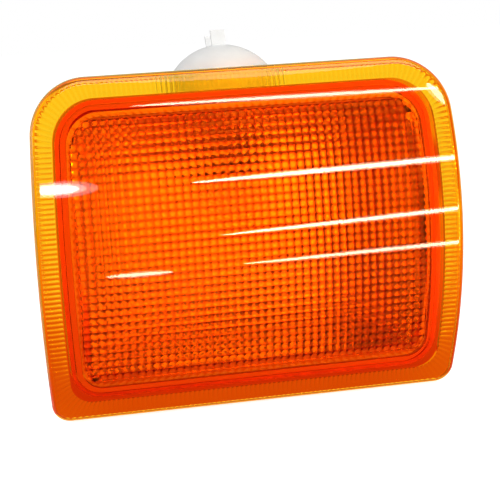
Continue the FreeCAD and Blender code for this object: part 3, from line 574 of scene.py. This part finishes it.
@dataclass
class AmberLens:
    """Amber lens: curved front, rim, ribbed border, skirt and a field of pillow prisms.

    Sizes are in millimetres and angles in degrees. The ledge outside the skirt gives the plain strip that
    stands round the field.
    """

    width: float = 180.0
    height: float = 142.0
    side_radius: float = 700.0
    top_radius: float = 24.0
    bottom_radius: float = 8.0
    front_radius: float = 198.0
    front_depth: float = 72.0
    wall: float = 2.0
    edge_round: float = 3.0
    edge_steps: int = 6
    face_shares: tuple[float, ...] = (
        0.0, 0.06, 0.15, 0.25, 0.35, 0.45, 0.55, 0.65, 0.75, 0.85, 0.93, 0.98, 1.0
    )
    rim_depth: float = 4.0
    rim_wall: float = 2.0
    skirt_inset: float = 12.0
    skirt_wall: float = 2.2
    skirt_depth: float = 9.0
    skirt_top_radius: float = 14.0
    skirt_bottom_radius: float = 9.0
    rib_pitch: float = 2.0
    rib_height: float = 0.36
    rib_start: float = 1.2
    rib_end: float = 0.4
    ledge_inset: float = 8.6
    ledge_depth: float = 5.4
    pitch: float = 3.2
    columns: int = 46
    rows: int = 34
    pillow_height: float = 1.0
    pillow_step: float = 0.9
    cell_cuts: int = 5
    field_gap: float = 1.4
    field_corner_trim: float = 1.0
    side_top: float = 43.0
    side_bottom: float = -47.5
    top_reach: float = 60.0
    bottom_reach: float = 64.5
    top_bend: float = 34.0
    bottom_bend: float = 30.0
    side_samples: int = 12
    corner_samples: int = 40
    sharp_angle: float = 35.0
    finish: ClearFinish = AMBER
    counts: tuple[int, int, int, int, int] = field(init=False)

    def __post_init__(self) -> None:
        """Works out how many points each stretch of the outline has: four to a rib."""
        lengths = (
            self.side_top - self.side_bottom,
            self.top_bend,
            2.0 * self.top_reach,
            self.bottom_bend,
            2.0 * self.bottom_reach,
        )
        self.counts = tuple(len(RIB_WAVE) * round(length / self.rib_pitch) for length in lengths)

    def surface(self, x: np.ndarray, z: np.ndarray, depth: np.ndarray | float) -> np.ndarray:
        """Points behind the front curve: y = axis - sqrt((radius - depth)^2 - z^2).

        Args:
            x: Places across, in millimetres.
            z: Places up, in millimetres.
            depth: Distance behind the front curve.

        Returns:
            Rows of x, y, z in millimetres.
        """
        axis = self.front_radius - self.front_depth
        reach = self.front_radius - depth
        return np.stack([x, axis - np.sqrt(reach**2 - z**2), z], axis=-1)

    def bend(self, side_z: float, flat_x: float, inset: float, radius: float, count: int) -> np.ndarray:
        """Corner stretch from the bowed side to the flat edge, in even steps of its length.

        It runs up the side's arc, round the corner's arc, x = centre + radius * cos(turn) and the same with
        sin for z, and along the flat edge.

        Args:
            side_z: Height at which it leaves the side.
            flat_x: Place at which it ends on the flat edge.
            inset: Distance in from the edge of the lens.
            radius: Radius of the corner.
            count: Number of steps.

        Returns:
            Rows of x, z for the corner at the upper right.
        """
        half, high, bow = self.width / 2.0 - inset, self.height / 2.0 - inset, self.side_radius
        middle = half - bow
        corner_x = middle + math.sqrt((bow - radius) ** 2 - (high - radius) ** 2)
        corner_z = high - radius
        turn = math.atan2(corner_z, corner_x - middle)
        rise = np.linspace(side_z, bow * math.sin(turn), self.side_samples)
        turns = np.linspace(turn, math.pi / 2.0, self.corner_samples)[1:]
        path = np.concatenate(
            [
                np.stack([middle + np.sqrt(bow**2 - rise**2), rise], axis=-1),
                np.stack([corner_x + radius * np.cos(turns), corner_z + radius * np.sin(turns)], axis=-1),
                [[flat_x, high]],
            ]
        )
        run = np.append(0.0, np.cumsum(np.hypot(*np.diff(path, axis=0).T)))
        steps = run[-1] * np.arange(count + 1) / count
        return np.stack([np.interp(steps, run, path[:, 0]), np.interp(steps, run, path[:, 1])], axis=-1)

    def outline(self, inset: float, top_radius: float, bottom_radius: float) -> np.ndarray:
        """Outline set in from the edge: bowed sides, flat top and bottom, four round corners.

        The sides are even steps in height on an arc, x = middle + sqrt(bow^2 - z^2), and the flat runs are
        even steps across, so that the ribs stand square to the edge.

        Args:
            inset: Distance in from the edge of the lens.
            top_radius: Radius of the upper corners.
            bottom_radius: Radius of the lower corners.

        Returns:
            Rows of x, z round the outline, counter-clockwise from the lower right.
        """
        side, bend, top, low_bend, bottom = self.counts
        high = self.height / 2.0 - inset
        z = self.side_bottom + (self.side_top - self.side_bottom) * np.arange(side + 1) / side
        x = self.width / 2.0 - inset - self.side_radius + np.sqrt(self.side_radius**2 - z**2)
        right = np.stack([x, z], axis=-1)
        upper = self.bend(self.side_top, self.top_reach, inset, top_radius, bend)
        below = self.bend(-self.side_bottom, self.bottom_reach, inset, bottom_radius, low_bend)
        lower = below * (1.0, -1.0)
        mirror = np.array([-1.0, 1.0])
        across = np.linspace(self.top_reach, -self.top_reach, top + 1)
        back = np.linspace(-self.bottom_reach, self.bottom_reach, bottom + 1)
        stretches = (
            right,
            upper,
            np.stack([across, np.full(top + 1, high)], axis=-1),
            upper[::-1] * mirror,
            right[::-1] * mirror,
            lower * mirror,
            np.stack([back, np.full(bottom + 1, -high)], axis=-1),
            lower[::-1],
        )
        return np.concatenate([stretch[:-1] for stretch in stretches])

    def edge_outline(self, inset: float) -> np.ndarray:
        """Outline set in from the edge, with corners about the same centres as the edge's."""
        return self.outline(inset, self.top_radius - inset, self.bottom_radius - inset)

    def border_outline(self, inset: float) -> np.ndarray:
        """Outline in the border, where the corner radii pass evenly from the rim's to the skirt's.

        Args:
            inset: Distance in from the edge of the lens.

        Returns:
            Rows of x, z round the outline.
        """
        share = (inset - self.rim_wall) / (self.skirt_inset - self.rim_wall)
        rim = np.array([self.top_radius, self.bottom_radius]) - self.rim_wall
        skirt = np.array([self.skirt_top_radius, self.skirt_bottom_radius]) + self.skirt_wall
        return self.outline(inset, *(rim + share * (skirt - rim)))

    def rib_wave(self) -> np.ndarray:
        """Height share along the outline: 0, half, 1, half on each rib.

        Returns:
            One share for each point of the outline.
        """
        side, bend, top, low_bend, bottom = self.counts
        points = 2 * (side + bend + low_bend) + top + bottom
        return np.tile(RIB_WAVE, points // len(RIB_WAVE))

    def rings(self) -> np.ndarray:
        """Closed rings from the middle of the front, round the edge and the rim, to inside the skirt.

        The front is the outline scaled towards the middle, and the edge is a quarter circle. Behind the
        rim, each station gives the inset, the depth and the share of the ribs.

        Returns:
            Array of ring, point, and x, y, z in millimetres.
        """
        made = []
        face = self.edge_outline(self.edge_round)
        for share in self.face_shares:
            made.append(self.surface(face[:, 0] * share, face[:, 1] * share, 0.0))
        for turn in np.linspace(0.0, math.pi / 2.0, self.edge_steps + 1)[1:]:
            ring = self.edge_outline(self.edge_round * (1.0 - math.sin(turn)))
            made.append(self.surface(ring[:, 0], ring[:, 1], self.edge_round * (1.0 - math.cos(turn))))
        outer = self.edge_outline(0.0)
        made.append(self.surface(outer[:, 0], outer[:, 1], self.rim_depth))
        wave = self.rib_wave() * self.rib_height
        stations = [
            (self.rim_wall, self.rim_depth, 0.0),
            (self.rim_wall, self.wall, 0.0),
            (self.rim_wall + self.rib_start, self.wall, 1.0),
            (self.ledge_inset - self.rib_end, self.wall, 1.0),
            (self.ledge_inset, self.wall, 0.0),
            (self.ledge_inset, self.ledge_depth, 0.0),
            (self.skirt_inset, self.ledge_depth, 0.0),
            (self.skirt_inset, self.skirt_depth, 0.0),
        ]
        for inset, depth, ribbed in stations:
            ring = self.border_outline(inset)
            made.append(self.surface(ring[:, 0], ring[:, 1], depth + ribbed * wave))
        inside = self.skirt_inset + self.skirt_wall
        foot = self.outline(inside, self.skirt_top_radius, self.skirt_bottom_radius)
        made.append(self.surface(foot[:, 0], foot[:, 1], self.skirt_depth))
        made.append(self.surface(foot[:, 0], foot[:, 1], self.wall + self.pillow_step))
        return np.stack(made)

    def prisms(self) -> tuple[np.ndarray, np.ndarray, np.ndarray, np.ndarray]:
        """Field of pillows on a grid: height * (1 - (a^2 + b^2) / 2), a and b from -1 to 1 in each cell.

        Points past the round corners are drawn in to the corner arc, and quads wholly past it are dropped.

        Returns:
            Points in millimetres, quads, the numbers of the border points in order of angle, and at each
            point the share (a^2 + b^2) / 2 of the way from a cell's middle to its corner.
        """
        across, up = self.columns * self.cell_cuts, self.rows * self.cell_cuts
        inner = self.front_radius - self.wall
        i, j = np.meshgrid(np.arange(across + 1), np.arange(up + 1), indexing="ij")
        x = (i / self.cell_cuts - self.columns / 2.0) * self.pitch
        z = inner * np.sin((j / self.cell_cuts - self.rows / 2.0) * self.pitch / inner)
        a = 2.0 * ((i / self.cell_cuts) % 1.0) - 1.0
        b = 2.0 * ((j / self.cell_cuts) % 1.0) - 1.0
        valley = (a**2 + b**2) / 2.0
        rise = self.pillow_height * (1.0 - valley)
        corner = np.where(z > 0.0, self.skirt_top_radius, self.skirt_bottom_radius) - self.field_corner_trim
        margin = self.skirt_inset + self.skirt_wall + self.field_gap
        bow = z**2 / (2.0 * self.side_radius)
        half, high = self.width / 2.0 - margin - bow, self.height / 2.0 - margin
        over_x, over_z = np.abs(x) - (half - corner), np.abs(z) - (high - corner)
        reach = np.hypot(over_x, over_z)
        past = (over_x > 0.0) & (over_z > 0.0) & (reach > corner)
        shrink = np.where(past, corner / np.maximum(reach, NEAR), 1.0)
        x = np.where(past, np.sign(x) * (half - corner + over_x * shrink), np.clip(x, -half, half))
        z = np.where(past, np.sign(z) * (high - corner + over_z * shrink), np.clip(z, -high, high))
        edge = past | (i == 0) | (j == 0) | (i == across) | (j == up)
        depth = self.wall + self.pillow_step + np.where(edge, 0.0, rise)
        points = self.surface(x, z, depth).reshape(-1, 3)
        number = i * (up + 1) + j
        corners = [number[:-1, :-1], number[:-1, 1:], number[1:, 1:], number[1:, :-1]]
        quads = np.stack(corners, axis=-1).reshape(-1, 4)
        quads = quads[~past.ravel()[quads].all(axis=1)]
        sides = np.concatenate([quads[:, [k, (k + 1) % 4]] for k in range(4)])
        pairs, shared = np.unique(np.sort(sides, axis=1), axis=0, return_counts=True)
        border = np.unique(pairs[shared == 1])
        return points, quads, border[np.argsort(angle_round(points[border]))], valley.ravel()

    def build(self) -> bpy.types.Object:
        """Joins the rings and the field into one closed shell.

        Returns:
            The lens, in place of its plain solid.
        """
        rings = self.rings()
        many, round_count = rings.shape[:2]
        start = np.arange(round_count)
        after = (start + 1) % round_count
        rows = np.arange(many - 1)[:, None] * round_count
        quads = np.stack(
            [rows + start, rows + round_count + start, rows + round_count + after, rows + after], axis=-1
        ).reshape(-1, 4)
        points, cells, border, valley = self.prisms()
        base = many * round_count
        turn = angle_round(rings[-1])
        foot = (base - round_count + start)[np.argsort(turn)]
        strip = zipped(np.sort(turn), foot, np.sort(angle_round(points[border])), border + base)
        everything = np.concatenate([rings.reshape(-1, 3), points]) * MM
        pole = quads[:round_count]
        cap = np.stack([np.zeros(round_count, int), pole[:, 1], pole[:, 2]], axis=-1)
        quads = np.concatenate([quads[round_count:], cells + base])
        triangles = np.concatenate([cap, strip])
        used = np.unique(np.concatenate([quads.ravel(), triangles.ravel()]))
        renumber = np.zeros(len(everything), int)
        renumber[used] = np.arange(len(used))
        made = new_object("amber_lens_shell", everything[used], renumber[quads], renumber[triangles])
        made.data.set_sharp_from_angle(angle=math.radians(self.sharp_angle))
        self.true_front(made.data, everything[used] / MM)
        # Stores each point's valley share as the mask of the painted shade in the prism valleys.
        share = made.data.attributes.new(PAINTED_CELL_SHADE_MASK, "FLOAT", "POINT")
        share.data.foreach_set("value", np.append(np.zeros(base), valley)[used].astype(np.float32))
        made.data.materials.append(self.finish.material())
        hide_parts("lens")
        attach(made, "root")
        return made

    def true_front(self, mesh: bpy.types.Mesh, points: np.ndarray) -> None:
        """Gives the front face the normals of its curve, (0, y - axis, z) / radius, and leaves the rest.

        Args:
            mesh: Mesh of the lens.
            points: Its points in millimetres.
        """
        spokes = points * (0.0, 1.0, 1.0) - (0.0, self.front_radius - self.front_depth, 0.0)
        length = np.linalg.norm(spokes, axis=1, keepdims=True)
        on_front = np.abs(length - self.front_radius) < NEAR
        corner_point = np.zeros(len(mesh.loops), np.int32)
        mesh.loops.foreach_get("vertex_index", corner_point)
        normals = np.zeros(3 * len(mesh.loops), np.float32)
        mesh.corner_normals.foreach_get("vector", normals)
        radial = (spokes / length)[corner_point]
        curved = np.where(on_front[corner_point], radial, normals.reshape(-1, 3))
        mesh.normals_split_custom_set(curved.tolist())


@dataclass
class DressedGroup:
    """Sub-assembly whose solids keep their shape and take a finish each."""

    title: str
    finishes: dict[str, OpaqueFinish | ClearFinish]

    def dress(self, nodes: dict[str, bpy.types.Object], made: dict[str, bpy.types.Material]) -> None:
        """Gives every solid of the group its material.

        Args:
            nodes: Solids by name.
            made: Materials made so far, by finish name.
        """
        for node, finish in self.finishes.items():
            if finish.name not in made:
                made[finish.name] = finish.material()
            mesh = nodes[node].data
            mesh.materials.clear()
            mesh.materials.append(made[finish.name])
        log.info("%s: %s", self.title, ", ".join(self.finishes))


HOUSING = DressedGroup(
    "housing",
    {
        "housing": WHITE_HOUSING,
        "reflector": BRIGHT_REFLECTOR,
        "lens_seal": PALE_SEALANT_PAINTED_GLOW,
        "vent_cap": SEAL_RUBBER,
        "fixing_inserts": CONTACT_BRASS,
    },
)
HOLDER = DressedGroup(
    "bulb holder",
    {
        "bulb_holder": WHITE_HOLDER,
        "holder_cap": WHITE_HOLDER,
        "holder_seal": SEAL_RUBBER,
        "socket_sleeve": PLATED_STEEL,
        "contact_disc": BROWN_INSULATOR,
        "contact_rivet": CONTACT_BRASS,
        "contact_spring": PLATED_STEEL,
        "live_terminal": TINNED_BLADE,
        "earth_terminal": TINNED_BLADE,
    },
)
BULB = DressedGroup(
    "bulb",
    {
        "bulb_glass": BULB_GLASS,
        "bulb_base": CONTACT_BRASS,
        "bulb_insulator": BLACK_INSULATOR,
        "bulb_contact": PLATED_STEEL,
        "bulb_stem": BULB_GLASS,
        "bulb_supports": PLATED_STEEL,
        "bulb_filament": TUNGSTEN,
    },
)


@dataclass(frozen=True)
class SoftLamp:
    """Large soft lamp: its place, the point it faces, its long side and its size, all in metres."""

    name: str
    place: Point
    faces: Point
    along: Point
    size: Pair
    radiance: float


@dataclass(frozen=True)
class StripLamp:
    """Long lamp in front whose mirror image lies along a line on the lens.

    The ends are x and z on the front, and they and the width are in millimetres. The distance from the lens
    is in metres. The halo is the share of the radiance that a second lamp, twice as wide, has.
    """

    name: str
    start: Pair
    end: Pair
    wide: float
    radiance: float
    away: float = 0.2
    halo: float = 0.2
    colour: Colour = WARM_LIGHT

    def layers(self) -> list[tuple[str, float, float]]:
        """Lamps of the strip: the strip itself and, where it has one, its halo.

        Returns:
            Name, width in metres and radiance of each lamp.
        """
        made = [(self.name, self.wide * MM, self.radiance)]
        if self.halo > 0.0:
            made.append((self.name + "_halo", 2.0 * self.wide * MM, self.radiance * self.halo))
        return made


@dataclass(frozen=True)
class LensRange:
    """Stretches over which the light for rays through the lens changes.

    Rays that were turned back change from front to back over the first and from left to right over the
    third, and straight ones from front to back over the second.
    """

    turned: Pair
    straight: Pair
    across: Pair


def set_at(place: Vector, right: Vector, up: Vector, back: Vector) -> Matrix:
    """Matrix of a camera or lamp, from its place and its own three axes."""
    return Matrix.Translation(place) @ Matrix((right, up, back)).transposed().to_4x4()


@dataclass
class Studio:
    """Floor, surroundings, lamps and camera.

    Lengths are in metres and angles in degrees, and a strength of 1 is white. Rays through the lens find
    their own light: straight ones a dim front and a white back, and those that the reflector turned back
    a bright front, which stands for the room that the lamp looks into.
    """

    lens: AmberLens
    azimuth: float = 12.0
    elevation: float = 10.2
    roll: float = -3.0
    distance: float = 0.662
    target: Point = (-0.0016, -0.065, -0.0041)
    focal: float = 115.2
    sensor: float = 36.0
    clip_start: float = 0.01
    floor_gap: float = 0.0005
    floor_reach: float = 3.0
    floor_white: float = 0.8
    floor_mirrored: float = 0.03
    floor_mirror_ends: Pair = (-0.062, -0.05)
    floor_glow: float = 0.75
    floor_range: LensRange = LensRange(turned=(-0.15, -0.08), straight=(-0.12, -0.07), across=(-0.3, 0.3))
    # Painted amber light on the floor near the lamp, fading to white further away.
    painted_amber_pool: tuple[Stop, ...] = ((0.1, (0.72, 0.13, 0.0)), (0.2, (0.97, 0.36, 0.1)), (0.6, WHITE))
    # Painted amber light in an oval patch behind the lamp.
    painted_amber_patch_behind: Patch = Patch((0.2, 0.7), (0.24, 0.3), 0.7)
    painted_amber_tint_behind: Colour = (0.83, 0.27, 0.05)
    # Painted bright patch of light ahead of the lamp, seen by rays through the lens.
    painted_light_patch_ahead: Patch = Patch((0.11, -0.55), (0.16, 0.3), 0.4)
    front_glow: float = 7.0
    front_dim: float = 0.15
    ahead_glow: float = 1.75
    ahead_lean: Pair = (1.25, 0.85)
    behind_glow: float = 1.1
    room_range: LensRange = LensRange(turned=(-0.1, 0.1), straight=(-0.2, 0.1), across=(-0.5, 0.5))
    above_ends: Pair = (0.6, 0.8)
    above_glow: float = 0.3
    back_ends: Pair = (-0.1, 0.5)
    back_glow: float = 0.45
    front_dark: float = 0.03
    room_glow: float = 0.55
    strip_aim: Point = (0.0, -0.07, 0.0)
    soft_lamps: tuple[SoftLamp, ...] = (
        SoftLamp("key_above", (0.2, -0.3, 0.9), ORIGIN, ACROSS, (0.9, 0.6), radiance=2.2),
        SoftLamp(
            "blade_card", (0.12, -0.48, 0.4484), (0.0, -0.03, 0.08), ACROSS, (0.4, 0.14), radiance=2.6
        ),
        SoftLamp("side_left", (-0.6, 0.1, 0.15), ORIGIN, INWARDS, (0.5, 0.4), radiance=1.4),
    )
    strips: tuple[StripLamp, ...] = (
        StripLamp("strip_upper", (-29.0, 25.0), (125.0, 30.3), wide=4.6, radiance=48.0),
        StripLamp("strip_middle", (-18.0, 4.0), (125.0, 8.0), wide=3.8, radiance=40.0),
        StripLamp("strip_lower", (-12.0, -8.1), (125.0, -7.5), wide=3.6, radiance=32.0),
        StripLamp("strip_short", (-63.0, -8.7), (-35.0, -8.9), wide=4.0, radiance=28.0),
        StripLamp("strip_top", (-48.0, 57.0), (92.0, 58.8), wide=3.6, radiance=32.0),
        StripLamp("strip_corner", (78.5, 59.5), (86.5, 49.0), wide=4.0, radiance=24.0),
        StripLamp("lamp_left", (-91.0, 28.6), (-70.0, 27.5), 12.0, 20.0, halo=0.0, colour=WHITE),
        StripLamp("halo_left", (-93.0, 28.7), (-67.0, 27.4), 17.0, 7.0, halo=0.0, colour=WHITE),
        StripLamp("veil_left", (-94.0, 28.8), (-62.0, 27.1), 22.0, 3.5, halo=0.0, colour=WHITE),
    )

    def axes(self) -> tuple[Vector, Vector, Vector]:
        """Camera's own axes after its roll.

        Returns:
            Right, up and forward.
        """
        turn, rise, lean = (math.radians(v) for v in (self.azimuth, self.elevation, self.roll))
        level = math.cos(rise)
        forward = Vector((math.sin(turn) * level, math.cos(turn) * level, -math.sin(rise)))
        right = Vector((math.cos(turn), -math.sin(turn), 0.0))
        up = right.cross(forward)
        return (
            right * math.cos(lean) + up * math.sin(lean),
            up * math.cos(lean) - right * math.sin(lean),
            forward,
        )

    def place(self) -> Vector:
        """Camera's place."""
        return Vector(self.target) - self.axes()[2] * self.distance

    def camera(self) -> None:
        """Makes the camera and gives it to the scene."""
        right, up, forward = self.axes()
        data = bpy.data.cameras.new("photo_camera")
        data.lens = self.focal
        data.sensor_width = self.sensor
        data.clip_start = self.clip_start
        made = bpy.data.objects.new("photo_camera", data)
        made.matrix_world = set_at(self.place(), right, up, -forward)
        bpy.context.scene.collection.objects.link(made)
        bpy.context.scene.camera = made

    def mirrored(self, spot: Pair, away: float) -> Vector:
        """Point that the camera sees mirrored at a spot of the lens.

        Args:
            spot: x and z on the front, in millimetres.
            away: Distance of the point from the spot, in metres.

        Returns:
            The point: the spot plus the view direction mirrored at the front's normal.
        """
        axis = (self.lens.front_radius - self.lens.front_depth) * MM
        point = Vector(self.lens.surface(np.array(spot[0]), np.array(spot[1]), 0.0) * MM)
        normal = Vector((0.0, point.y - axis, point.z)).normalized()
        sight = (point - self.place()).normalized()
        return point + (sight - 2.0 * sight.dot(normal) * normal) * away

    def area(self, name: str, place: Vector, facing: Vector, along: Vector, size: Pair,
             radiance: float) -> bpy.types.Object:
        """Makes an oval lamp, whose power is its radiance times pi times the area of the oval.

        Args:
            name: Lamp name.
            place: Its middle.
            facing: Direction that it shines in.
            along: Direction of its long side.
            size: Length and width in metres.
            radiance: Brightness of its face, where 1 is white.

        Returns:
            The lamp.
        """
        data = bpy.data.lights.new(name, "AREA")
        data.shape = "ELLIPSE"
        data.size, data.size_y = size
        data.energy = radiance * math.pi * size[0] * size[1] * math.pi / 4.0
        made = bpy.data.objects.new(name, data)
        back = -facing.normalized()
        side = (along - along.dot(back) * back).normalized()
        made.matrix_world = set_at(place, side, back.cross(side), back)
        made.visible_camera = False
        bpy.context.scene.collection.objects.link(made)
        return made

    def lamps(self) -> None:
        """Makes the soft lamps and the strips that the lens mirrors."""
        for soft in self.soft_lamps:
            place, along = Vector(soft.place), Vector(soft.along)
            self.area(soft.name, place, Vector(soft.faces) - place, along, soft.size, soft.radiance)
        for strip in self.strips:
            start, end = (self.mirrored(spot, strip.away) for spot in (strip.start, strip.end))
            middle = (start + end) / 2.0
            along = end - start
            for name, wide, radiance in strip.layers():
                size = (along.length, wide)
                lamp = self.area(name, middle, Vector(self.strip_aim) - middle, along, size, radiance)
                lamp.data.color = strip.colour

    def lens_light(self, sheet: NodeSheet, place: Socket, stretch: LensRange, share: Socket) -> Socket:
        """Strength of the light that a ray through the lens finds.

        Args:
            sheet: Node tree to work in.
            place: Place on the floor, or direction into the room.
            stretch: Where the light changes.
            share: Share for rays that the reflector turned back.

        Returns:
            The strength.
        """
        x, y, _ = sheet.parts(place)
        ahead = sheet.between(y, stretch.turned, self.ahead_glow, self.behind_glow)
        lean = sheet.between(x, stretch.across, *self.ahead_lean)
        straight = sheet.between(y, stretch.straight, self.front_dim, self.behind_glow)
        again = sheet.calc("MULTIPLY", ahead, sheet.calc("MULTIPLY", share, lean))
        return sheet.either(sheet.turned_ray(), straight, again)

    def floor_through(self, sheet: NodeSheet, spot: Socket, low: float) -> Socket:
        """Floor for rays through the lens, with painted light: a painted amber pool near the lamp, a
        painted amber patch behind, a painted bright patch ahead.

        Args:
            sheet: Node tree to work in.
            spot: Place on the floor.
            low: Height of the floor.

        Returns:
            The shader.
        """
        away = sheet.vector("LENGTH", spot)
        # Painted amber pool of light round the lamp.
        painted_amber_pool = sheet.ramp(away.outputs["Value"], self.painted_amber_pool)
        # Painted bright patch ahead: the floor glows there for rays through the lens.
        bright = sheet.between(sheet.oval(spot, self.painted_light_patch_ahead, low), UNIT, 1.0, self.front_glow)
        glow = sheet.glow("Emission", self.lens_light(sheet, spot, self.floor_range, bright))
        # Paints the amber patch of light behind the lamp over the pool.
        colour = sheet.blend(sheet.oval(spot, self.painted_amber_patch_behind, low), painted_amber_pool, self.painted_amber_tint_behind)
        sheet.join(colour, glow.inputs["Color"])
        return glow.outputs["Emission"]

    def floor_direct(self, sheet: NodeSheet, spot: Socket) -> Socket:
        """Floor for all other rays: pale and matt, brighter to the camera, and dark in mirrors in front.

        Args:
            sheet: Node tree to work in.
            spot: Place on the floor.

        Returns:
            The shader.
        """
        in_front = sheet.between(sheet.parts(spot)[1], self.floor_mirror_ends, 1.0, 0.0)
        dim = sheet.calc("MULTIPLY", sheet.mirror_ray(), in_front)
        matt = sheet.add("BsdfDiffuse")
        sheet.join(sheet.between(dim, UNIT, self.floor_white, self.floor_mirrored), matt.inputs["Color"])
        glow = sheet.glow("Emission", sheet.calc("MULTIPLY", sheet.ray(Ray.CAMERA), self.floor_glow))
        both = sheet.add("AddShader")
        sheet.join(matt.outputs["BSDF"], both.inputs[0])
        sheet.join(glow.outputs["Emission"], both.inputs[1])
        return both.outputs["Shader"]

    def floor(self, low: float) -> None:
        """Makes the pale floor, which keeps the lamp's shadow.

        Args:
            low: Height of the floor.
        """
        mesh = bpy.data.meshes.new("floor")
        reach = self.floor_reach
        corners = [(-reach, -reach, low), (reach, -reach, low), (reach, reach, low), (-reach, reach, low)]
        mesh.from_pydata(corners, [], [(0, 1, 2, 3)])
        made = bpy.data.objects.new("floor", mesh)
        bpy.context.scene.collection.objects.link(made)
        paint, sheet = new_material("pale_floor")
        out = sheet.add("OutputMaterial")
        spot = sheet.add("TexCoord").outputs["Object"]
        direct, through = self.floor_direct(sheet, spot), self.floor_through(sheet, spot, low)
        sheet.join(sheet.mix(sheet.ray(Ray.THROUGH), direct, through), out.inputs["Surface"])
        mesh.materials.append(paint)
        made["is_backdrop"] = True

    def world(self) -> None:
        """Makes the surroundings: white to the camera, and for other rays pale behind and dark in front."""
        made = bpy.data.worlds.new("studio")
        bpy.context.scene.world = made
        made.use_nodes = True
        sheet = NodeSheet(made.node_tree)
        out = sheet.add("OutputWorld")
        way = sheet.add("TexCoord").outputs["Generated"]
        _, y, z = sheet.parts(way)
        above = sheet.between(z, self.above_ends, 1.0, self.above_glow)
        through = self.lens_light(sheet, way, self.room_range, above)
        white = sheet.glow("Background", sheet.either(sheet.ray(Ray.THROUGH), 1.0, through))
        back = sheet.between(y, self.back_ends, self.front_dark, self.back_glow)
        even = sheet.calc("MULTIPLY", sheet.calc("SUBTRACT", 1.0, sheet.mirror_ray()), self.room_glow)
        room = sheet.glow("Background", sheet.calc("MAXIMUM", back, even))
        seen = sheet.calc("MAXIMUM", sheet.ray(Ray.CAMERA), sheet.ray(Ray.THROUGH))
        both = sheet.mix(seen, room.outputs["Background"], white.outputs["Background"])
        sheet.join(both, out.inputs["Surface"])


def main() -> None:
    """Builds the lamp and its studio, and reports each piece."""
    logging.basicConfig(level=logging.INFO, format="%(name)s: %(message)s")
    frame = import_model()
    solid_box = [list(corner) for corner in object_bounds()]
    bpy.context.scene.view_settings.view_transform = "Standard"
    made: dict[str, bpy.types.Material] = {}
    for group in (HOUSING, HOLDER, BULB):
        group.dress(frame["nodes"], made)
    lens = AmberLens()
    shell = lens.build()
    log.info("lens: %d points, %d faces", len(shell.data.vertices), len(shell.data.polygons))
    studio = Studio(lens)
    studio.floor(solid_box[0][2] - studio.floor_gap)
    studio.world()
    studio.lamps()
    studio.camera()
    log.info("studio: %d strips", len(studio.strips))


if __name__ == "__main__":
    main()
